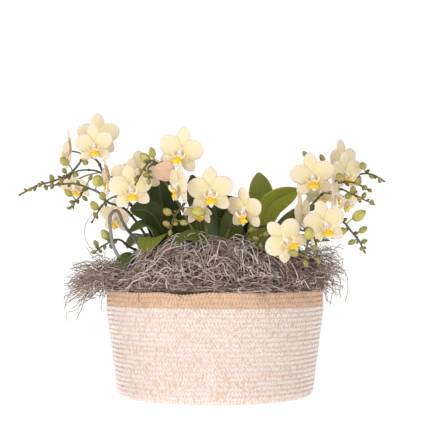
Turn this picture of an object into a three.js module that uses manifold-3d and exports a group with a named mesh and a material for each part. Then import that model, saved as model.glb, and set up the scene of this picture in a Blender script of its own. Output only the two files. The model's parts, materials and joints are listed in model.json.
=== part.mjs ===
// Small moth orchids in a rope basket. Three plants stand in grow pots over a water reservoir, with moss
// laid round them, and arching flower spikes spread out to both sides.
// Millimetres, +Z up, the front faces -Y, the origin is the middle of the basket's underside.
import * as THREE from 'three';
import { mergeVertices } from 'three/addons/utils/BufferGeometryUtils.js';
import Module from 'manifold-3d';

const wasm = await Module();
wasm.setup();

// Clear space between neighbouring pieces
const GAP = 0.3;

// Shortest edge and lowest triangle left where joined shapes cross
const SHORT_EDGE = 0.1;
const NEEDLE_HEIGHT = 0.03;
const CLEANING_ROUNDS = 400;

// Basket: rows of stitched rope, a pale wall and a tan band at the rim
const BASKET_HEIGHT = 122;
const BASKET_RIM_RADIUS = 125;
const BASKET_FOOT_RADIUS = 112;
const BASKET_STRAIGHT_FROM = 98;
const BASKET_FOOT_ROUNDING = 9;
const BASKET_FACETS = 24;
const BAND_HEIGHT = 17;
const BAND_ROWS = 3;
const WALL_ROWS = 20;
const ROPE_THICKNESS = 5.5;
const SEAM_DEPTH = 1.1;
const WALL_INSIDE_HEIGHTS = [BASKET_HEIGHT - BAND_HEIGHT, 61, 14, ROPE_THICKNESS];

// Reservoir tub and the deck that carries the pots
const TUB_FOOT_RADIUS = 98;
const TUB_TOP_RADIUS = 112;
const TUB_TOP = 96;
const TUB_WALL = 1.6;
const TUB_FACETS = 18;
const DECK_TOP = 32.4;
const DECK_THICKNESS = 2.4;
const DECK_RADIUS = 97;
const DECK_FOOT_RADIUS = 6;
const DECK_FOOT_RING = 78;
const DECK_FOOT_TURNS = [90, 210, 330];
const WICK_RADIUS = 2.5;
const WICK_HOLE_RADIUS = 5;

// Grow pots, 9 cm across, in a ring of three
const POT_RADIUS = 45;
const POT_FOOT_RADIUS = 31;
const POT_TOP = 118;
const POT_RIM_HEIGHT = 6;
const POT_WALL = 1.2;
const POT_RIM_STEP = 2;
const POT_RING = 52.6;
const POT_FACETS = 12;
const BARK_TOP = 112;
const BARK_DOME = 2;
const BARK_CHIPS = 4;
const BARK_CHIP_RADIUS = 7;
const BARK_CHIP_RING = 18;
const BARK_CLEARANCE = 1.4;

// Leafy stems
const CROWN_RADIUS = 8;
const CROWN_FOOT = 84;
const CROWN_TOP = 146;
const CROWN_SIDES = 8;
const LEAF_THICKNESS = 1.8;
const LEAF_FOLD = 0.11;
// Share of a leaf's length and share of its width there
const LEAF_ROWS = [[0, 0.3], [0.3, 0.66], [0.55, 0.97], [0.76, 0.96], [0.92, 0.6], [1, 0.14]];

// Flower spikes
const STEM_RADIUS = 1.6;
const BRANCH_RADIUS = 1.1;
const STALK_RADIUS = 0.8;
const STALK_TURN = 11;
const STALK_STEPS = 4;
const BRANCH_STEPS = 5;
const LEAFY_SHARE = 0.36;
const LARGE_BUD = 3.5;
const BUD_PROFILE = [[0, -1.25], [0.82, -0.6], [1, 0.2], [0, 1.35]];

// Blooms
const TEPAL_THICKNESS = 1;
const HUB_BACK = 3;
const HUB_RADIUS = 2.3;
const COLUMN_TOP = 6;
const COLUMN_TOP_RADIUS = 1.3;
const LOBE_LENGTH = 25;
const NOTCH_RADIUS = 3;
const SEPALS = {
  lift: -2,
  outline: [[0.4, 1], [0.78, 0.76]],
  lobes: [
    { angle: -48, length: 26, width: 15 },
    { angle: 90, length: 25, width: 15 },
    { angle: 228, length: 26, width: 15 },
  ],
};
const PETALS = {
  lift: 0,
  outline: [[0.38, 0.94], [0.8, 0.86]],
  lobes: [
    { angle: 14, length: 25, width: 21 },
    { angle: 166, length: 25, width: 21 },
  ],
};
// Right half of the lip seen from the front, from the tip of its middle lobe up round a side lobe
const LIP_OUTLINE = [[0, -18], [3.2, -15.6], [5.6, -13], [2, -9.5], [6.6, -4.5], [6.4, -0.6], [2, 0]];

// Moss
const MOSS_FOOT = POT_TOP + GAP;
const MOSS_RADIUS = 121;
const STRAND_RADIUS = 1.25;
const MOSS_HOLE_FOOT = 16;
const MOSS_HOLE_TOP = 42;
const MOSS_HOLE_DEPTH = 50;
const MOSS_FOOT_RADIUS = 113;
const MOSS_SHOULDER = 126;
const MOSS_TOP = 160;
const MOSS_EDGE_DROP = 24;
const MOSS_RINGS = [110, 96, 78, 56, 30, 0];
const MOSS_FACETS = 20;
const MOSS_TANGLE = 2.6;
const MOSS_LOOPS = 30;
const MOSS_LOOP_START = 4;
const MOSS_SPILL_START = 104;
const MOSS_SPILL_HEIGHT = 134;
const MOSS_SPILL_SHORTEST = 134;
const MOSS_SPILLS = [
  { middle: Math.PI, spread: 0.75, count: 8, reach: 172, drop: 30 },
  { middle: 0, spread: 0.8, count: 6, reach: 148, drop: 14 },
];

const PLANT_SITES = {
  left: [-POT_RING * Math.sin(Math.PI / 3), POT_RING / 2],
  right: [POT_RING * Math.sin(Math.PI / 3), POT_RING / 2],
  front: [0, -POT_RING],
};

// Leaves: widest width, the way the upper face looks, and the line of the midrib from crown to tip
const LEAVES = {
  left: [
    {
      width: 33,
      facing: [0.1, -1, 0.35],
      path: [[-46, 24, 130], [-58, 8, 182], [-76, -4, 211], [-98, -10, 214]],
    },
    {
      width: 22,
      facing: [-0.2, -0.5, 1],
      path: [[-46, 24, 128], [-62, 2, 166], [-80, -14, 196], [-99, -22, 188]],
    },
    {
      width: 38,
      facing: [-0.3, -0.4, 1],
      path: [[-46, 20, 126], [-53, 0, 164], [-68, -34, 181], [-76, -62, 164]],
    },
    {
      width: 38,
      facing: [0, -1, 0.3],
      path: [[-46, 30, 130], [-52, 40, 184], [-64, 42, 226], [-68, 38, 260]],
    },
    {
      width: 36,
      facing: [0.1, -1, 0.3],
      path: [[-46, 28, 128], [-38, 36, 170], [-22, 42, 206], [-4, 44, 228]],
    },
    {
      width: 30,
      facing: [-0.4, 0.3, 1],
      path: [[-48, 28, 126], [-68, 50, 172], [-88, 72, 186], [-108, 88, 170]],
    },
    {
      width: 28,
      facing: [0, 0.4, 1],
      path: [[-44, 32, 126], [-40, 60, 172], [-36, 88, 190], [-32, 112, 178]],
    },
  ],
  right: [
    {
      width: 33,
      facing: [0, -1, 0.2],
      path: [[45, 28, 130], [48, 32, 180], [55, 36, 222], [52, 36, 260]],
    },
    {
      width: 33,
      facing: [0.35, -1, -0.5],
      path: [[46, 24, 130], [50, 8, 190], [64, -4, 221], [96, -14, 238]],
    },
    {
      width: 24,
      facing: [0.3, -0.6, 1],
      path: [[48, 27, 128], [72, 32, 178], [98, 27, 210], [124, 18, 218]],
    },
    {
      width: 34,
      facing: [-0.15, -1, 0.3],
      path: [[46, 26, 128], [40, 18, 168], [24, 10, 204], [6, 6, 230]],
    },
    {
      width: 30,
      facing: [-0.2, -0.8, 0.6],
      path: [[46, 22, 126], [36, 10, 160], [18, 2, 186], [-4, 0, 202]],
    },
    {
      width: 30,
      facing: [0.4, 0.3, 1],
      path: [[48, 30, 126], [66, 56, 172], [84, 78, 186], [102, 94, 170]],
    },
    {
      width: 26,
      facing: [0, 0.4, 1],
      path: [[44, 32, 126], [38, 62, 170], [24, 88, 184], [10, 108, 174]],
    },
  ],
  front: [
    {
      width: 25,
      facing: [0, -0.35, 1],
      path: [[3, -54, 130], [26, -66, 163], [66, -68, 177], [128, -52, 178]],
    },
    {
      width: 22,
      facing: [-0.1, -0.6, 1],
      path: [[-2, -58, 130], [-10, -71, 168], [-24, -76, 182], [-46, -71, 178]],
    },
    {
      width: 26,
      facing: [0.2, -1, 0.6],
      path: [[3, -48, 130], [14, -27, 180], [26, -15, 210], [44, -7, 224]],
    },
    {
      width: 26,
      facing: [-0.2, -1, 0.3],
      path: [[-1, -48, 130], [-6, -27, 185], [-18, -18, 222], [-27, -16, 254]],
    },
  ],
};

// Blooms: where the middle sits, the way the face looks (yaw to the viewer's right, pitch up, roll of the
// top sepal to the viewer's right, in degrees), the size and how far the tepals reach forward
const BLOOMS = [
  { name: 'bloom_01', at: [-136, 0, 302], yaw: 4, pitch: 4, roll: -2, size: 1.0, reach: 0.1 },
  { name: 'bloom_02', at: [-138, -24, 289], yaw: -8, pitch: -4, roll: -4, size: 0.92, reach: 0.22 },
  { name: 'bloom_03', at: [-169, -8, 282], yaw: -76, pitch: 2, roll: -6, size: 1.0, reach: 0.1 },
  { name: 'bloom_04', at: [-123, -20, 251], yaw: -80, pitch: -8, roll: -6, size: 1.0, reach: 0.14 },
  { name: 'bloom_05', at: [-94, -62, 237], yaw: 4, pitch: 2, roll: -8, size: 1.0, reach: 0.14 },
  { name: 'bloom_06', at: [-97, -36, 250], yaw: -6, pitch: 0, roll: 10, size: 0.9, reach: 0.1 },
  { name: 'bloom_07', at: [-86, -6, 258], yaw: 8, pitch: 0, roll: -12, size: 1.0, reach: 0.1 },
  { name: 'bloom_08', at: [-38, -60, 279], yaw: -10, pitch: -4, roll: 14, size: 1.05, reach: 0.1 },
  { name: 'bloom_09', at: [-40, -76, 240], yaw: -66, pitch: -6, roll: 16, size: 1.0, reach: 0.08 },
  { name: 'bloom_10', at: [-5, -80, 233], yaw: 2, pitch: 0, roll: -2, size: 1.05, reach: 0.08 },
  { name: 'bloom_11', at: [33, -70, 213], yaw: -38, pitch: -14, roll: 4, size: 0.98, reach: 0.14 },
  { name: 'bloom_12', at: [110, -44, 252], yaw: -4, pitch: 0, roll: -7, size: 1.03, reach: 0.08 },
  { name: 'bloom_13', at: [152, 30, 274], yaw: 44, pitch: 2, roll: -6, size: 1.0, reach: 0.12 },
  { name: 'bloom_14', at: [151, -6, 258], yaw: 34, pitch: -4, roll: -4, size: 0.95, reach: 0.18 },
  { name: 'bloom_15', at: [124, 8, 236], yaw: -10, pitch: -50, roll: 0, size: 0.95, reach: 0.14 },
  { name: 'bloom_16', at: [134, -54, 231], yaw: 74, pitch: 0, roll: -10, size: 0.85, reach: 0.1 },
  { name: 'bloom_17', at: [155, 2, 226], yaw: 56, pitch: -30, roll: 0, size: 0.8, reach: 0.2 },
  { name: 'bloom_18', at: [98, -48, 209], yaw: 64, pitch: 0, roll: -14, size: 0.95, reach: 0.1 },
  { name: 'bloom_19', at: [120, -86, 197], yaw: 16, pitch: 2, roll: -12, size: 1.0, reach: 0.1 },
  { name: 'bloom_20', at: [75, -106, 179], yaw: 12, pitch: 0, roll: -46, size: 0.98, reach: 0.1 },
  { name: 'bloom_21', at: [-18, -62, 212], yaw: -10, pitch: -48, roll: 0, size: 0.72, reach: 0.55 },
  { name: 'bloom_22', at: [-118, 32, 208], yaw: -30, pitch: -20, roll: 10, size: 0.85, reach: 0.2 },
  { name: 'bloom_23', at: [-165, 14, 244], yaw: -20, pitch: -50, roll: 0, size: 0.85, reach: 0.25 },
];

// Flower spikes: the main stem from crown to tip, its side branches, the buds as x, y, z and radius, and the
// blooms that it carries
const SPIKES = [
  {
    name: 'spike_left_high',
    plant: 'left',
    route: [
      [-52, 28, 142], [-67, 30, 174], [-88, 26, 208], [-111, 16, 233], [-129, 8, 254], [-136, -4, 270],
      [-143, -12, 275], [-151, -18, 274], [-158, -20, 264], [-168, -22, 254], [-184, -22, 247],
      [-204, -22, 241], [-224, -20, 231],
    ],
    branches: [[[-130, 6, 256], [-142, -8, 260], [-160, -16, 258], [-170, -20, 251], [-186, -24, 240]]],
    buds: [
      [-171, -40, 268, 5.4], [-147, -37, 267, 4], [-172, -28, 258, 3.2], [-159, -27, 254, 3.4],
      [-187, -24, 250, 3.4], [-201, -24, 242, 3.2], [-212, -22, 237, 2.6], [-194, -20, 239, 2.6],
    ],
    blooms: ['bloom_01', 'bloom_02', 'bloom_03', 'bloom_22', 'bloom_23'],
  },
  {
    name: 'spike_left_middle',
    plant: 'left',
    route: [
      [-52, 25, 134], [-70, 20, 164], [-87, 16, 193], [-102, 1, 213], [-113, -22, 219], [-122, -34, 222],
      [-131, -35, 232], [-144, -33, 238], [-160, -32, 243], [-177, -31, 242], [-194, -30, 240],
    ],
    branches: [
      [[-110, -18, 219], [-113, -36, 228], [-124, -46, 221], [-131, -50, 211], [-138, -52, 199]],
      [[-143, -33, 238], [-151, -35, 233], [-153, -37, 228], [-159, -38, 222], [-164, -40, 215]],
    ],
    buds: [
      [-131, -57, 245, 7.2], [-126, -55, 228, 4.6], [-135, -58, 217, 5.2], [-134, -55, 207, 3.4],
      [-166, -40, 232, 4.2], [-160, -44, 219, 2.6], [-165, -40, 215, 2.2], [-148, -34, 226, 3],
      [-142, -29, 250, 2.8], [-186, -30, 242, 2.6], [-175, -34, 246, 3],
    ],
    blooms: ['bloom_04', 'bloom_05', 'bloom_06', 'bloom_07'],
  },
  {
    name: 'spike_left_low',
    plant: 'left',
    route: [
      [-52, 24, 124], [-66, 18, 149], [-86, 8, 164], [-100, -14, 172], [-108, -30, 179], [-115, -36, 179],
      [-120, -38, 176], [-127, -40, 172], [-136, -42, 165],
    ],
    branches: [],
    buds: [
      [-125, -30, 185, 5.6], [-134, -46, 175, 3.4], [-137, -42, 165, 2.6], [-118, -32, 172, 3],
      [-130, -36, 166, 2.4],
    ],
    blooms: [],
  },
  {
    name: 'spike_middle_left',
    plant: 'front',
    route: [
      [-6, -50, 128], [-20, -46, 178], [-42, -42, 222], [-58, -50, 248], [-64, -56, 264], [-71, -62, 267],
      [-78, -68, 259], [-83, -73, 250], [-88, -75, 240],
    ],
    branches: [[[-71, -62, 267], [-74, -70, 258], [-73, -74, 246]]],
    buds: [
      [-78, -58, 270, 6], [-70, -62, 276, 4.6], [-82, -74, 255, 3], [-76, -74, 250, 3.2],
      [-87, -75, 245, 2.8], [-73, -75, 243, 3],
    ],
    blooms: ['bloom_08'],
  },
  {
    name: 'spike_middle',
    plant: 'front',
    route: [
      [-6, -53, 142], [-9, -50, 182], [-13, -51, 212], [-25, -62, 227], [-32, -70, 221], [-38, -78, 213],
      [-45, -84, 203], [-49, -88, 188],
    ],
    branches: [],
    buds: [
      [-52, -92, 209, 4.6], [-18, -90, 209, 6.6], [-53, -92, 196, 3.8], [-34, -90, 197, 3.8],
      [-43, -90, 196, 2.8], [-49, -88, 186, 2.8],
    ],
    blooms: ['bloom_09', 'bloom_10', 'bloom_21'],
  },
  {
    name: 'spike_middle_right',
    plant: 'front',
    route: [
      [6, -48, 142], [13, -45, 182], [26, -46, 208], [38, -51, 215], [45, -57, 207], [47, -65, 195],
      [49, -77, 183], [50, -85, 175],
    ],
    branches: [],
    buds: [[41, -62, 190, 4.2], [45, -84, 180, 3.2], [50, -88, 172, 2.8], [57, -80, 185, 3.4]],
    blooms: ['bloom_11'],
  },
  {
    name: 'spike_right_high',
    plant: 'right',
    route: [
      [50, 32, 140], [62, 44, 172], [86, 50, 200], [116, 46, 228], [142, 34, 244], [160, 21, 251],
      [172, 13, 257], [184, 8, 256], [197, 4, 248],
    ],
    branches: [],
    buds: [[171, -10, 265, 5], [184, 9, 254, 3.4], [193, 6, 249, 3]],
    blooms: ['bloom_13', 'bloom_14', 'bloom_15'],
  },
  {
    name: 'spike_right_middle',
    plant: 'right',
    route: [
      [54, 25, 140], [67, 12, 162], [80, -2, 184], [100, -16, 206], [118, -27, 227], [134, -33, 241],
      [149, -36, 245], [162, -38, 242], [176, -40, 234],
    ],
    branches: [[[124, -29, 232], [142, -30, 237], [154, -42, 231], [166, -46, 225], [178, -50, 219]]],
    buds: [
      [138, -66, 249, 5.2], [162, -42, 245, 4.4], [155, -50, 235, 4], [169, -44, 238, 3.6],
      [175, -42, 235, 2.8], [150, -48, 228, 4], [162, -52, 225, 3.4], [168, -46, 229, 3],
      [176, -50, 221, 2.8], [103, -34, 276, 3.6], [122, -34, 272, 3.6],
    ],
    blooms: ['bloom_12', 'bloom_16', 'bloom_17'],
  },
  {
    name: 'spike_right_low',
    plant: 'right',
    route: [
      [53, 20, 126], [60, 11, 149], [70, 0, 160], [84, -14, 168], [110, -36, 184], [132, -52, 200],
      [144, -58, 198], [152, -61, 188], [160, -64, 178], [166, -66, 165],
    ],
    branches: [],
    buds: [
      [161, -55, 206, 6.8], [165, -60, 190, 4.2], [141, -68, 188, 5], [152, -65, 176, 3.6],
      [166, -62, 177, 3.2], [163, -66, 169, 2.8],
    ],
    blooms: ['bloom_18', 'bloom_19'],
  },
  {
    name: 'spike_right_front',
    plant: 'front',
    route: [
      [6, -53, 130], [21, -50, 162], [37, -52, 186], [54, -64, 194], [72, -80, 192], [90, -88, 190],
      [104, -97, 185], [109, -106, 174], [110, -109, 160],
    ],
    branches: [[[104, -97, 185], [99, -108, 172], [96, -112, 158]]],
    buds: [
      [101, -114, 185, 6.4], [84, -118, 164, 4.6], [107, -112, 170, 3.8], [97, -114, 153, 3.2],
      [111, -109, 156, 3],
    ],
    blooms: ['bloom_20'],
  },
];

// The root that leaves the left crown, arches over and comes down outside the leaves
const AERIAL_ROOT_RADIUS = 1.9;
const AERIAL_ROOT = [
  [-53, 23, 119], [-58, 19, 134], [-67, 13, 151], [-82, 3, 167], [-98, -8, 186], [-107, -23, 203],
  [-112, -32, 213], [-117, -37, 209], [-119, -41, 196], [-117, -44, 181], [-112, -48, 168],
  [-106, -52, 156], [-103, -54, 145],
];

// The plant tag and its spring clip, on one straight step of the stem
const TAG_RADIUS = 12;
const TAG_CORNERS = 22;
const TAG_THICKNESS = 1.6;
const TAG_STEM_STEP = 6;
const TAG_OFFSET = 4.5;
const CLIP_WALL = 1.2;
const CLIP_HEIGHT = 6;
const CLIP_OPENING = 100;
const CLIP_PAD = 5;
const CLIP_PAD_DEPTH = 1.6;

// A closed solid from any three.js geometry: shared corners are merged and collapsed triangles dropped
function toSolid(geometry) {
  geometry.deleteAttribute('normal');
  geometry.deleteAttribute('uv');
  const merged = mergeVertices(geometry, 1e-3);
  const corners = merged.index.array;
  const kept = [];
  for (let i = 0; i < corners.length; i += 3) {
    const [a, b, c] = [corners[i], corners[i + 1], corners[i + 2]];
    if (a !== b && b !== c && c !== a) kept.push(a, b, c);
  }
  const vertProperties = new Float32Array(merged.attributes.position.array);
  return new wasm.Manifold(new wasm.Mesh({ numProp: 3, vertProperties, triVerts: new Uint32Array(kept) }));
}

function toGeometry(solid) {
  const { vertProperties, triVerts } = solid.getMesh();
  const geometry = new THREE.BufferGeometry();
  geometry.setAttribute('position', new THREE.BufferAttribute(new Float32Array(vertProperties), 3));
  geometry.setIndex(new THREE.BufferAttribute(new Uint32Array(triVerts), 1));
  geometry.computeVertexNormals();
  return geometry;
}

const unite = (solids) => solids.reduce((whole, solid) => whole.add(solid));

// The largest connected body of a geometry, without loose scraps
function largestBody(geometry) {
  const corners = geometry.index.array;
  const leader = Array.from({ length: geometry.attributes.position.count }, (_, i) => i);
  const find = (i) => {
    let at = i;
    while (leader[at] !== at) at = leader[at];
    return at;
  };
  for (let i = 0; i < corners.length; i += 3) {
    leader[find(corners[i + 1])] = find(corners[i]);
    leader[find(corners[i + 2])] = find(corners[i]);
  }
  const sizes = new Map();
  for (const corner of corners) sizes.set(find(corner), (sizes.get(find(corner)) ?? 0) + 1);
  const largest = [...sizes].reduce((a, b) => (a[1] > b[1] ? a : b))[0];
  const body = geometry.clone();
  const kept = [];
  for (let i = 0; i < corners.length; i += 3) {
    if (find(corners[i]) === largest) kept.push(corners[i], corners[i + 1], corners[i + 2]);
  }
  body.setIndex(kept);
  return body;
}

// Shapes that cross at a slant leave tiny edges and needle triangles. Tiny edges are closed up, and a needle
// is swapped with the neighbour on its longest side for the two triangles of their other diagonal.
function cleaned(geometry) {
  const { position } = geometry.attributes;
  const corners = Array.from({ length: position.count }, (_, i) =>
    new THREE.Vector3().fromBufferAttribute(position, i));
  const { array } = geometry.index;
  let faces = Array.from({ length: array.length / 3 }, (_, i) => [...array.slice(3 * i, 3 * i + 3)]);
  const side = (a, b) => corners[a].distanceTo(corners[b]);
  const longest = ([a, b, c]) => Math.max(side(a, b), side(b, c), side(c, a));
  const normal = ([a, b, c]) => corners[b].clone().sub(corners[a]).cross(corners[c].clone().sub(corners[a]));
  const height = (face) => normal(face).length() / longest(face);
  const around = (corner) => new Set(faces.filter((face) => face.includes(corner)).flat());

  const closeUp = (kept, gone) => {
    const near = around(gone);
    if ([...around(kept)].filter((corner) => near.has(corner)).length !== 4) return false;
    const before = faces.filter((face) => face.includes(gone) && !face.includes(kept));
    const after = before.map((face) => face.map((corner) => (corner === gone ? kept : corner)));
    const sound = before.every((face, i) => (
      height(face) < NEEDLE_HEIGHT || (normal(face).dot(normal(after[i])) > 0 && height(after[i]) > NEEDLE_HEIGHT)
    ));
    if (sound) faces = faces.filter((face) => !face.includes(gone)).concat(after);
    return sound;
  };

  const swap = (face) => {
    const first = [0, 1, 2].find((i) => side(face[i], face[(i + 1) % 3]) === longest(face));
    const [a, b, c] = [0, 1, 2].map((i) => face[(first + i) % 3]);
    const other = faces.find((item) => item !== face && item.includes(a) && item.includes(b));
    const d = other.find((corner) => corner !== a && corner !== b);
    const pair = [[c, a, d], [d, b, c]];
    const better = Math.min(...pair.map(height)) > 2 * height(face);
    const alike = normal(pair[0]).dot(normal(other)) > 0 && normal(pair[1]).dot(normal(other)) > 0;
    if (!better || !alike || around(c).has(d)) return false;
    faces = faces.filter((item) => item !== face && item !== other).concat(pair);
    return true;
  };

  const improve = (face) => [0, 1, 2].some((i) => {
    const [a, b] = [face[i], face[(i + 1) % 3]];
    return side(a, b) < SHORT_EDGE && (closeUp(a, b) || closeUp(b, a));
  }) || (height(face) < NEEDLE_HEIGHT && swap(face));

  let round = 0;
  while (round < CLEANING_ROUNDS && faces.some(improve)) round += 1;
  const result = new THREE.BufferGeometry();
  result.setAttribute('position', position.clone());
  result.setIndex(faces.flat());
  return toGeometry(toSolid(result));
}

const joined = (solid) => cleaned(toGeometry(solid));

const vector = ([x, y, z]) => new THREE.Vector3(x, y, z);

const curve = (points) => new THREE.CatmullRomCurve3(points.map(vector));

const degrees = THREE.MathUtils.degToRad;

function mesh(name, geometry, color, roughness) {
  const piece = new THREE.Mesh(geometry, new THREE.MeshStandardMaterial({ color, roughness, metalness: 0 }));
  piece.name = name;
  return piece;
}

// A turned solid about +Z from [radius, height] pairs
function turned(profile, facets) {
  const points = profile.map(([radius, height]) => new THREE.Vector2(radius, height));
  return new THREE.LatheGeometry(points, facets).rotateX(Math.PI / 2);
}

function pillar(radius, bottom, top, sides, at = [0, 0]) {
  const geometry = new THREE.CylinderGeometry(radius, radius, top - bottom, sides);
  return geometry.rotateX(Math.PI / 2).translate(at[0], at[1], (top + bottom) / 2);
}

const extruded = (outline, depth) => (
  new THREE.ExtrudeGeometry(new THREE.Shape(outline), { depth, bevelEnabled: false })
);

// A tube of few sides along a line
function tube(line, radius, sides, steps) {
  const corners = Array.from({ length: sides }, (_, i) => {
    const turn = (i / sides) * Math.PI * 2;
    return new THREE.Vector2(Math.cos(turn) * radius, Math.sin(turn) * radius);
  });
  return toSolid(new THREE.ExtrudeGeometry(new THREE.Shape(corners), { steps, extrudePath: line }));
}

// A thin blade from rows of points across it, split into triangles alike on both faces
function blade(rows, thickness) {
  const across = rows[0].points.length;
  const positions = [];
  for (const side of [0.5, -0.5]) {
    for (const { points, normal } of rows) {
      for (const point of points) positions.push(...point.clone().addScaledVector(normal, side * thickness));
    }
  }
  const top = (row, column) => row * across + column;
  const bottom = (row, column) => (rows.length + row) * across + column;
  const index = [];
  const quad = (a, b, c, d) => index.push(a, b, c, a, c, d);
  for (let row = 0; row < rows.length - 1; row += 1) {
    for (let column = 0; column < across - 1; column += 1) {
      quad(top(row, column), top(row + 1, column), top(row + 1, column + 1), top(row, column + 1));
      const [a, b] = [bottom(row, column), bottom(row + 1, column)];
      const [c, d] = [bottom(row + 1, column + 1), bottom(row, column + 1)];
      index.push(a, c, b, a, d, c);
    }
    const last = across - 1;
    quad(bottom(row, 0), bottom(row + 1, 0), top(row + 1, 0), top(row, 0));
    quad(bottom(row + 1, last), bottom(row, last), top(row, last), top(row + 1, last));
  }
  const end = rows.length - 1;
  for (let column = 0; column < across - 1; column += 1) {
    quad(bottom(0, column + 1), bottom(0, column), top(0, column), top(0, column + 1));
    quad(bottom(end, column), bottom(end, column + 1), top(end, column + 1), top(end, column));
  }
  const geometry = new THREE.BufferGeometry();
  geometry.setAttribute('position', new THREE.Float32BufferAttribute(positions, 3));
  geometry.setIndex(index);
  return geometry;
}

// Outer radius of the basket at a height: a leaning wall, upright near the rim and rounded at the foot
function basketRadius(height) {
  const lean = (BASKET_RIM_RADIUS - BASKET_FOOT_RADIUS) / BASKET_STRAIGHT_FROM;
  const wall = (z) => BASKET_FOOT_RADIUS + lean * Math.min(z, BASKET_STRAIGHT_FROM);
  if (height >= BASKET_FOOT_ROUNDING) return wall(height);
  const rise = BASKET_FOOT_ROUNDING - height;
  return wall(BASKET_FOOT_ROUNDING) - BASKET_FOOT_ROUNDING + Math.sqrt(BASKET_FOOT_ROUNDING ** 2 - rise ** 2);
}

// Outline of stacked rope rows, from one seam to the next over each row's bulge
function ropeRows(bottom, top, rows) {
  const pitch = (top - bottom) / rows;
  const outline = [];
  for (let row = 0; row < rows; row += 1) {
    const seam = bottom + row * pitch;
    outline.push([basketRadius(seam) - SEAM_DEPTH, seam], [basketRadius(seam + pitch / 2), seam + pitch / 2]);
  }
  outline.push([basketRadius(top) - SEAM_DEPTH, top]);
  return outline;
}

function basketWall() {
  const top = BASKET_HEIGHT - BAND_HEIGHT;
  const inside = WALL_INSIDE_HEIGHTS.map((height) => [basketRadius(height) - ROPE_THICKNESS, height]);
  const profile = [[0, 0], ...ropeRows(0, top, WALL_ROWS), ...inside, [0, ROPE_THICKNESS]];
  return mesh('basket_wall', turned(profile, BASKET_FACETS), '#e9dccb', 0.9);
}

function basketBand() {
  const bottom = BASKET_HEIGHT - BAND_HEIGHT;
  const inside = [BASKET_HEIGHT, bottom].map((height) => [basketRadius(height) - ROPE_THICKNESS, height]);
  const outline = ropeRows(bottom, BASKET_HEIGHT, BAND_ROWS);
  const profile = [...outline, ...inside, outline[0]];
  return mesh('basket_band', turned(profile, BASKET_FACETS), '#c99a63', 0.9);
}

function reservoirTub() {
  const foot = ROPE_THICKNESS + GAP;
  const profile = [
    [0, foot], [TUB_FOOT_RADIUS, foot], [TUB_TOP_RADIUS, TUB_TOP], [TUB_TOP_RADIUS - TUB_WALL, TUB_TOP],
    [TUB_FOOT_RADIUS - TUB_WALL, foot + TUB_WALL], [0, foot + TUB_WALL],
  ];
  return mesh('reservoir_tub', turned(profile, TUB_FACETS), '#8d8d89', 0.4);
}

// The deck stands on three feet between the pots and has a hole for each wick
function reservoirDeck() {
  const floor = ROPE_THICKNESS + TUB_WALL + 2 * GAP;
  const underside = DECK_TOP - DECK_THICKNESS;
  const feet = DECK_FOOT_TURNS.map((turn) => {
    const at = [DECK_FOOT_RING * Math.cos(degrees(turn)), DECK_FOOT_RING * Math.sin(degrees(turn))];
    return toSolid(pillar(DECK_FOOT_RADIUS, floor, underside + DECK_THICKNESS / 2, 6, at));
  });
  const holes = Object.values(PLANT_SITES).map((at) =>
    toSolid(pillar(WICK_HOLE_RADIUS, underside - 1, DECK_TOP + 1, 6, at)));
  const plate = toSolid(pillar(DECK_RADIUS, underside, DECK_TOP, TUB_FACETS));
  const deck = unite([plate, ...feet]).subtract(unite(holes));
  return mesh('reservoir_deck', toGeometry(deck), '#77787a', 0.5);
}

function wick(name, [x, y]) {
  const foot = ROPE_THICKNESS + TUB_WALL + 3 * GAP;
  const top = DECK_TOP + GAP + POT_WALL;
  return mesh(name, pillar(WICK_RADIUS, foot, top, 6, [x, y]), '#e8e4da', 1);
}

function pot(name, [x, y]) {
  const foot = DECK_TOP + GAP;
  const rim = POT_TOP - POT_RIM_HEIGHT;
  const wall = POT_RADIUS - POT_RIM_STEP;
  const floor = foot + POT_WALL;
  const profile = [
    [WICK_HOLE_RADIUS, foot], [POT_FOOT_RADIUS, foot], [wall, rim], [POT_RADIUS, rim], [POT_RADIUS, POT_TOP],
    [wall - POT_WALL, POT_TOP], [POT_FOOT_RADIUS - POT_WALL, floor], [WICK_HOLE_RADIUS, floor],
    [WICK_HOLE_RADIUS, foot],
  ];
  const piece = mesh(name, turned(profile, POT_FACETS), '#5a4a3c', 0.5);
  piece.position.set(x, y, 0);
  return piece;
}

// The short trunk of a plant, or with a margin the hole it stands in
function crown(site, margin = 0) {
  return toSolid(pillar(CROWN_RADIUS + margin, CROWN_FOOT - margin, CROWN_TOP, CROWN_SIDES, site));
}

// Pieces of bark fill the pot, and the crown stands in a plain hole in them
function bark(name, site) {
  const foot = DECK_TOP + POT_WALL + 2 * GAP;
  const bottom = POT_FOOT_RADIUS - POT_WALL - BARK_CLEARANCE / 2;
  const top = POT_RADIUS - POT_RIM_STEP - POT_WALL - BARK_CLEARANCE;
  const profile = [[0, foot], [bottom, foot], [top, BARK_TOP], [0, BARK_TOP + BARK_DOME]];
  const fill = toSolid(turned(profile, POT_FACETS));
  const chips = Array.from({ length: BARK_CHIPS }, (_, i) => {
    const chip = new THREE.OctahedronGeometry(BARK_CHIP_RADIUS).scale(1.4, 0.8, 0.45).rotateZ(i * 1.9);
    const reach = BARK_CHIP_RING + 5 * Math.sin(i * 2.3);
    const turn = (i / BARK_CHIPS) * Math.PI * 2;
    return toSolid(chip.translate(reach * Math.cos(turn), reach * Math.sin(turn), BARK_TOP + BARK_DOME / 2));
  });
  const whole = unite([fill, ...chips]).translate([site[0], site[1], 0]).subtract(crown(site, GAP));
  return mesh(name, joined(whole), '#6b4a30', 1);
}

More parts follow.
